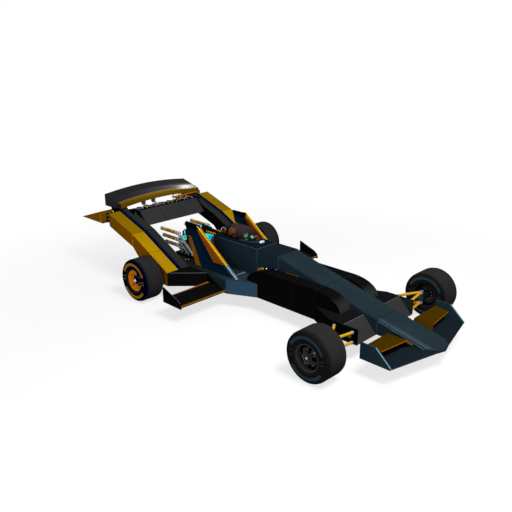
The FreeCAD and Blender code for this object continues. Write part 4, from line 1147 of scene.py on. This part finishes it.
def pillow(name, finish, centre, along_way, across_way, rise, size, channels=(), taper=0.0):
    """A stuffed leather pad: crowned, its sides drawn in between the corners, with sewn channels and piping."""
    half_long, half_wide, depth = size
    across = PAD_STEPS + 1
    shape = Shape()
    top = []
    for row_number in range(PAD_ROWS + 1):
        v = 2 * row_number / PAD_ROWS - 1
        for number in range(across):
            u = 2 * number / PAD_STEPS - 1
            pull = 1 - PAD_END_DRAW * (1 - v * v)
            draw = 1 - PAD_SIDE_DRAW * (1 - u * u)
            width = half_wide * draw * (1 - taper * max(u, 0) ** 2)
            swell = ((1 - u ** 6) * (1 - v ** 6)) ** 0.5
            for channel in channels:
                swell *= 1 - CHANNEL_DEPTH * math.exp(-((u - channel) / CHANNEL_WIDTH) ** 2)
            place = centre + along_way * (u * half_long * pull) + across_way * (v * width)
            top.append((place, swell))
    points = [place + rise * depth * swell for place, swell in top]
    points += [place - rise * depth * PAD_UNDERSIDE * swell for place, swell in top]
    faces = []
    for row_number in range(PAD_ROWS):
        for number in range(PAD_STEPS):
            corner = row_number * across + number
            quad = [corner, corner + 1, corner + across + 1, corner + across]
            faces += [quad, [len(top) + value for value in reversed(quad)]]
    shape.add(points, faces)
    made = shape.piece(name, "seat_leather", finish, smooth=180)
    work = bmesh.new()
    work.from_mesh(made.data)
    bmesh.ops.remove_doubles(work, verts=work.verts, dist=0.0001)
    work.to_mesh(made.data)
    work.free()
    finer = made.modifiers.new("stuffing", "SUBSURF")
    finer.levels = 1
    finer.render_levels = 1
    far = PAD_ROWS * across
    border = [*range(PAD_STEPS), *range(PAD_STEPS, far + PAD_STEPS, across), *range(far + PAD_STEPS, far, -1),
              *range(far, -1, -across)]
    border = [top[number][0] for number in border]
    piping = Shape()
    for start, end in zip(border[:-1], border[1:]):
        piping.turned(start, end - start, [(0, 0.003), ((end - start).length, 0.003)], 6)
    piping.piece(name + "_piping", "seat_leather", "stitching")


def seat_padding():
    """Leather pads on the seat's base and back, their bolsters, and the headrest's pad."""
    sideways = Vector((0, 1, 0))
    foot, knee, shoulder = [at(x, 0, z) for x, z in ((-11, 1.75), (-12.4, 1.6), (-13.1, 3.5))]
    for name, start, end, channels in (("seat_base_pad", foot, knee, (-0.5, 0.0, 0.5)),
                                       ("seat_back_pad", knee, shoulder, (-0.6, -0.2, 0.2, 0.6))):
        way = (end - start).normalized()
        rise = sideways.cross(way).normalized()
        if rise.dot(Vector((1, 0, 1))) < 0:
            rise = -rise
        middle = (start + end) / 2 + rise * PAD_LIFT
        length = (end - start).length / 2
        pillow(name, "dark_leather", middle, way, sideways, rise, (length * 0.94, 0.1, 0.036), channels)
        for side, sign in SIDES:
            place = middle + sideways * (0.128 * sign)
            size = (length * 0.9, 0.024, 0.06)
            pillow(name + "_bolster_" + side, "dark_leather", place, way, sideways, rise, size)
    low, high = at(-13.1, 0, 3.56), at(-13.04, 0, 4.5)
    way = (high - low).normalized()
    rise = Vector((1, 0, 0))
    size = ((high - low).length / 2 * 0.97, 0.07, 0.026)
    pillow("headrest_pad", "leather", (low + high) / 2 + rise * PAD_LIFT, way, sideways, rise, size, (), 0.38)


def webbing(shape, points, width, thickness):
    """A flat strap laid through points; its width lies across the car."""
    for start, end in zip(points[:-1], points[1:]):
        way = (end - start).normalized()
        rise = way.cross(Vector((0, 1, 0))).normalized() * thickness
        wide = Vector((0, width / 2, 0))
        shape.slab([start - wide, start + wide, end + wide, end - wide], rise)


def harness():
    """Shoulder and lap straps with their buckle."""
    straps, metal = Shape(), Shape()
    buckle = at(-12.12, 0, 2.02)
    for sign in (1, -1):
        across = Vector((0, 0.052 * sign, 0))
        points = [at(-13.06, 0, 3.66) + across, at(-12.83, 0, 3.3) + across, at(-12.52, 0, 2.62) + across * 0.8,
                  at(-12.28, 0, 2.16) + across * 0.4]
        webbing(straps, points, 0.044, 0.003)
        start = points[1]
        metal.block(start - Vector((0.004, 0.028, 0.006)), start + Vector((0.006, 0.028, 0.012)))
        lap = [buckle + Vector((0, 0.02 * sign, 0)), at(-12.2, 0.45 * sign, 1.98), at(-12.38, 0.66 * sign, 1.86)]
        straps.path(lap, 0.01, 6)
    metal.turned(buckle - Vector((0.012, 0, 0.012)), (1, 0, 0.6), [(0, 0.03), (0.01, 0.034), (0.02, 0.03),
                                                                  (0.024, 0.012), (0.025, 0.001)], 24)
    straps.piece("harness_straps", "plastic", "webbing", bevel=0.001)
    metal.piece("harness_buckles", "steel", "silver", bevel=0.0015)


DUCT_STEPS = 10
DUCT_RINGS = ((0.0, 0.04, 0.044), (0.05, 0.052, 0.06), (0.12, 0.066, 0.078), (0.17, 0.074, 0.088))
FAIRING_ROWS = 0.31


def half_round(x, base, half, rise, steps):
    """Points over half an oval that stands across the car."""
    return [Vector((x, math.cos(angle) * half, base + math.sin(angle) * rise)) for angle in angles_to(math.pi, steps)]


def fairing_trim():
    """The bright rim round the open end of the rear fairing and the brown duct inside it."""
    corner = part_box("rear_fairing")[0]
    back, base = corner.x, corner.z
    radius = FAIRING_ROWS * ROW
    rim, duct, marker = Shape(), Shape(), Shape()
    rim.path(half_round(back + 0.004, base + 0.004, radius - 0.004, radius - 0.006, 12), 0.0055, 10)
    rim.piece("fairing_rim", "steel", "chrome")
    points = []
    for reach, half, rise in DUCT_RINGS:
        points += half_round(back + 0.02 + reach, base, half, rise, DUCT_STEPS)
    duct.rings(points, DUCT_STEPS + 1)
    duct.piece("fairing_duct", "seat_leather", "leather", bevel=0.002)
    marker.block(Vector((back + 0.12, -0.076, base + 0.05)), Vector((back + 0.128, -0.055, base + 0.085)))
    marker.piece("fairing_marker", "gold_metal", "stud_yellow", bevel=0.001)


for side, sign in SIDES:
    for dress in (front_cover, rear_dish, front_brake, pipe_fittings, fin_ridge, deck_louvres, rod_fittings,
                  pod_fittings, tail_fittings):
        dress(side, sign)
for dress in (engine_fittings, panel_tiles, wing_fittings, highlight_lines, hull_fasteners, instruments, seat_padding,
              harness, fairing_trim):
    dress()


# Stage, light and camera.
FLOOR_HALF = 90.0
FLOOR_LIGHT = 0.32
FLOOR_SEEN = 0.9
NEAR_GLOW = 0.72
FAR_GLOW = 1.0
GLOW_REACH = (2.5, 6.0)


def background_rays(tree):
    """One where the ray comes from the camera, through glass or off a gloss."""
    path = tree.add("LightPath")
    through = tree.math("MAXIMUM", path.outputs["Is Camera Ray"], path.outputs["Is Transmission Ray"])
    return tree.math("MAXIMUM", through, path.outputs["Is Glossy Ray"])


def pale_floor():
    """A wide pale floor that is white where it is seen, keeps the shadow and throws back little light."""
    material = bpy.data.materials.new("pale_floor")
    tree = Tree(material)
    seen = background_rays(tree)
    fleck = tree.ranged(tree.noise(1.5), 0.98, 1.0)
    shade = tree.made("BsdfDiffuse", {"Color": tree.math("MULTIPLY", fleck,
                                                         tree.levelled(seen, FLOOR_LIGHT, FLOOR_SEEN))})
    reach = tree.ranged(tree.made("VectorMath", {0: tree.place()}, "Value", operation="LENGTH"), NEAR_GLOW, FAR_GLOW,
                        *GLOW_REACH)
    mixed = tree.made("MixShader", {"Fac": tree.math("MULTIPLY", seen, reach), 1: shade,
                                    2: tree.made("Emission", {"Strength": 1.0})})
    output = tree.add("OutputMaterial")
    tree.feed(output.inputs["Surface"], mixed)
    mesh = bpy.data.meshes.new("floor")
    span = (-FLOOR_HALF, FLOOR_HALF)
    mesh.from_pydata([(x, y, 0) for x, y in rectangle(span, span)], [], [(0, 1, 2, 3)])
    mesh.materials.append(material)
    linked("floor", mesh)


WORLD_LIGHT = 0.34


def studio_world():
    """An even dome: white where it is seen, dimmer as a light."""
    world = bpy.data.worlds.new("studio")
    bpy.context.scene.world = world
    tree = Tree(world)
    strength = tree.levelled(background_rays(tree), WORLD_LIGHT, 1.0)
    sky = tree.made("Background", {"Color": (1, 1, 1), "Strength": strength})
    output = tree.add("OutputWorld")
    tree.feed(output.inputs["Surface"], sky)


def soft_box(name, direction, distance, size, power, target=(0.0, 0.0, 0.0)):
    """A round soft light that looks at a place on the car."""
    light = bpy.data.lights.new(name, "AREA")
    light.shape = "DISK"
    light.size = size
    light.energy = power
    box = linked(name, light)
    aim = Vector(direction).normalized()
    box.location = Vector(target) + aim * distance
    box.rotation_mode = "QUATERNION"
    box.rotation_quaternion = aim.to_track_quat("Z", "Y")
    box.visible_camera = False


CAMERA_PLACE = (6.5242, -6.5999, 3.949)
CAMERA_TURN_DEGREES = (70.53, 0.16, 44.7)
CAMERA_FOCUS_PIXELS = 627.31
PHOTO_PIXELS = 512
SENSOR_WIDTH = 36.0


def photo_camera():
    """The camera at the photograph's viewpoint."""
    camera = bpy.data.cameras.new("camera")
    camera.sensor_width = SENSOR_WIDTH
    camera.lens = SENSOR_WIDTH * CAMERA_FOCUS_PIXELS / PHOTO_PIXELS
    holder = linked("camera", camera)
    holder.location = CAMERA_PLACE
    holder.rotation_euler = [math.radians(turn) for turn in CAMERA_TURN_DEGREES]
    bpy.context.scene.camera = holder


bpy.context.scene.view_settings.view_transform = "Standard"
pale_floor()
studio_world()
soft_box("key", (0.55, -0.1, 0.83), 11.0, 4.0, 1100.0)
soft_box("rim", (-0.594, 0.683, 0.422), 8.0, 0.4, 75.0, (-2.51, 0.6, 1.28))
soft_box("side", (0.206, -0.926, 0.3), 7.0, 0.3, 90.0, (2.4, -1.496, 0.435))
photo_camera()
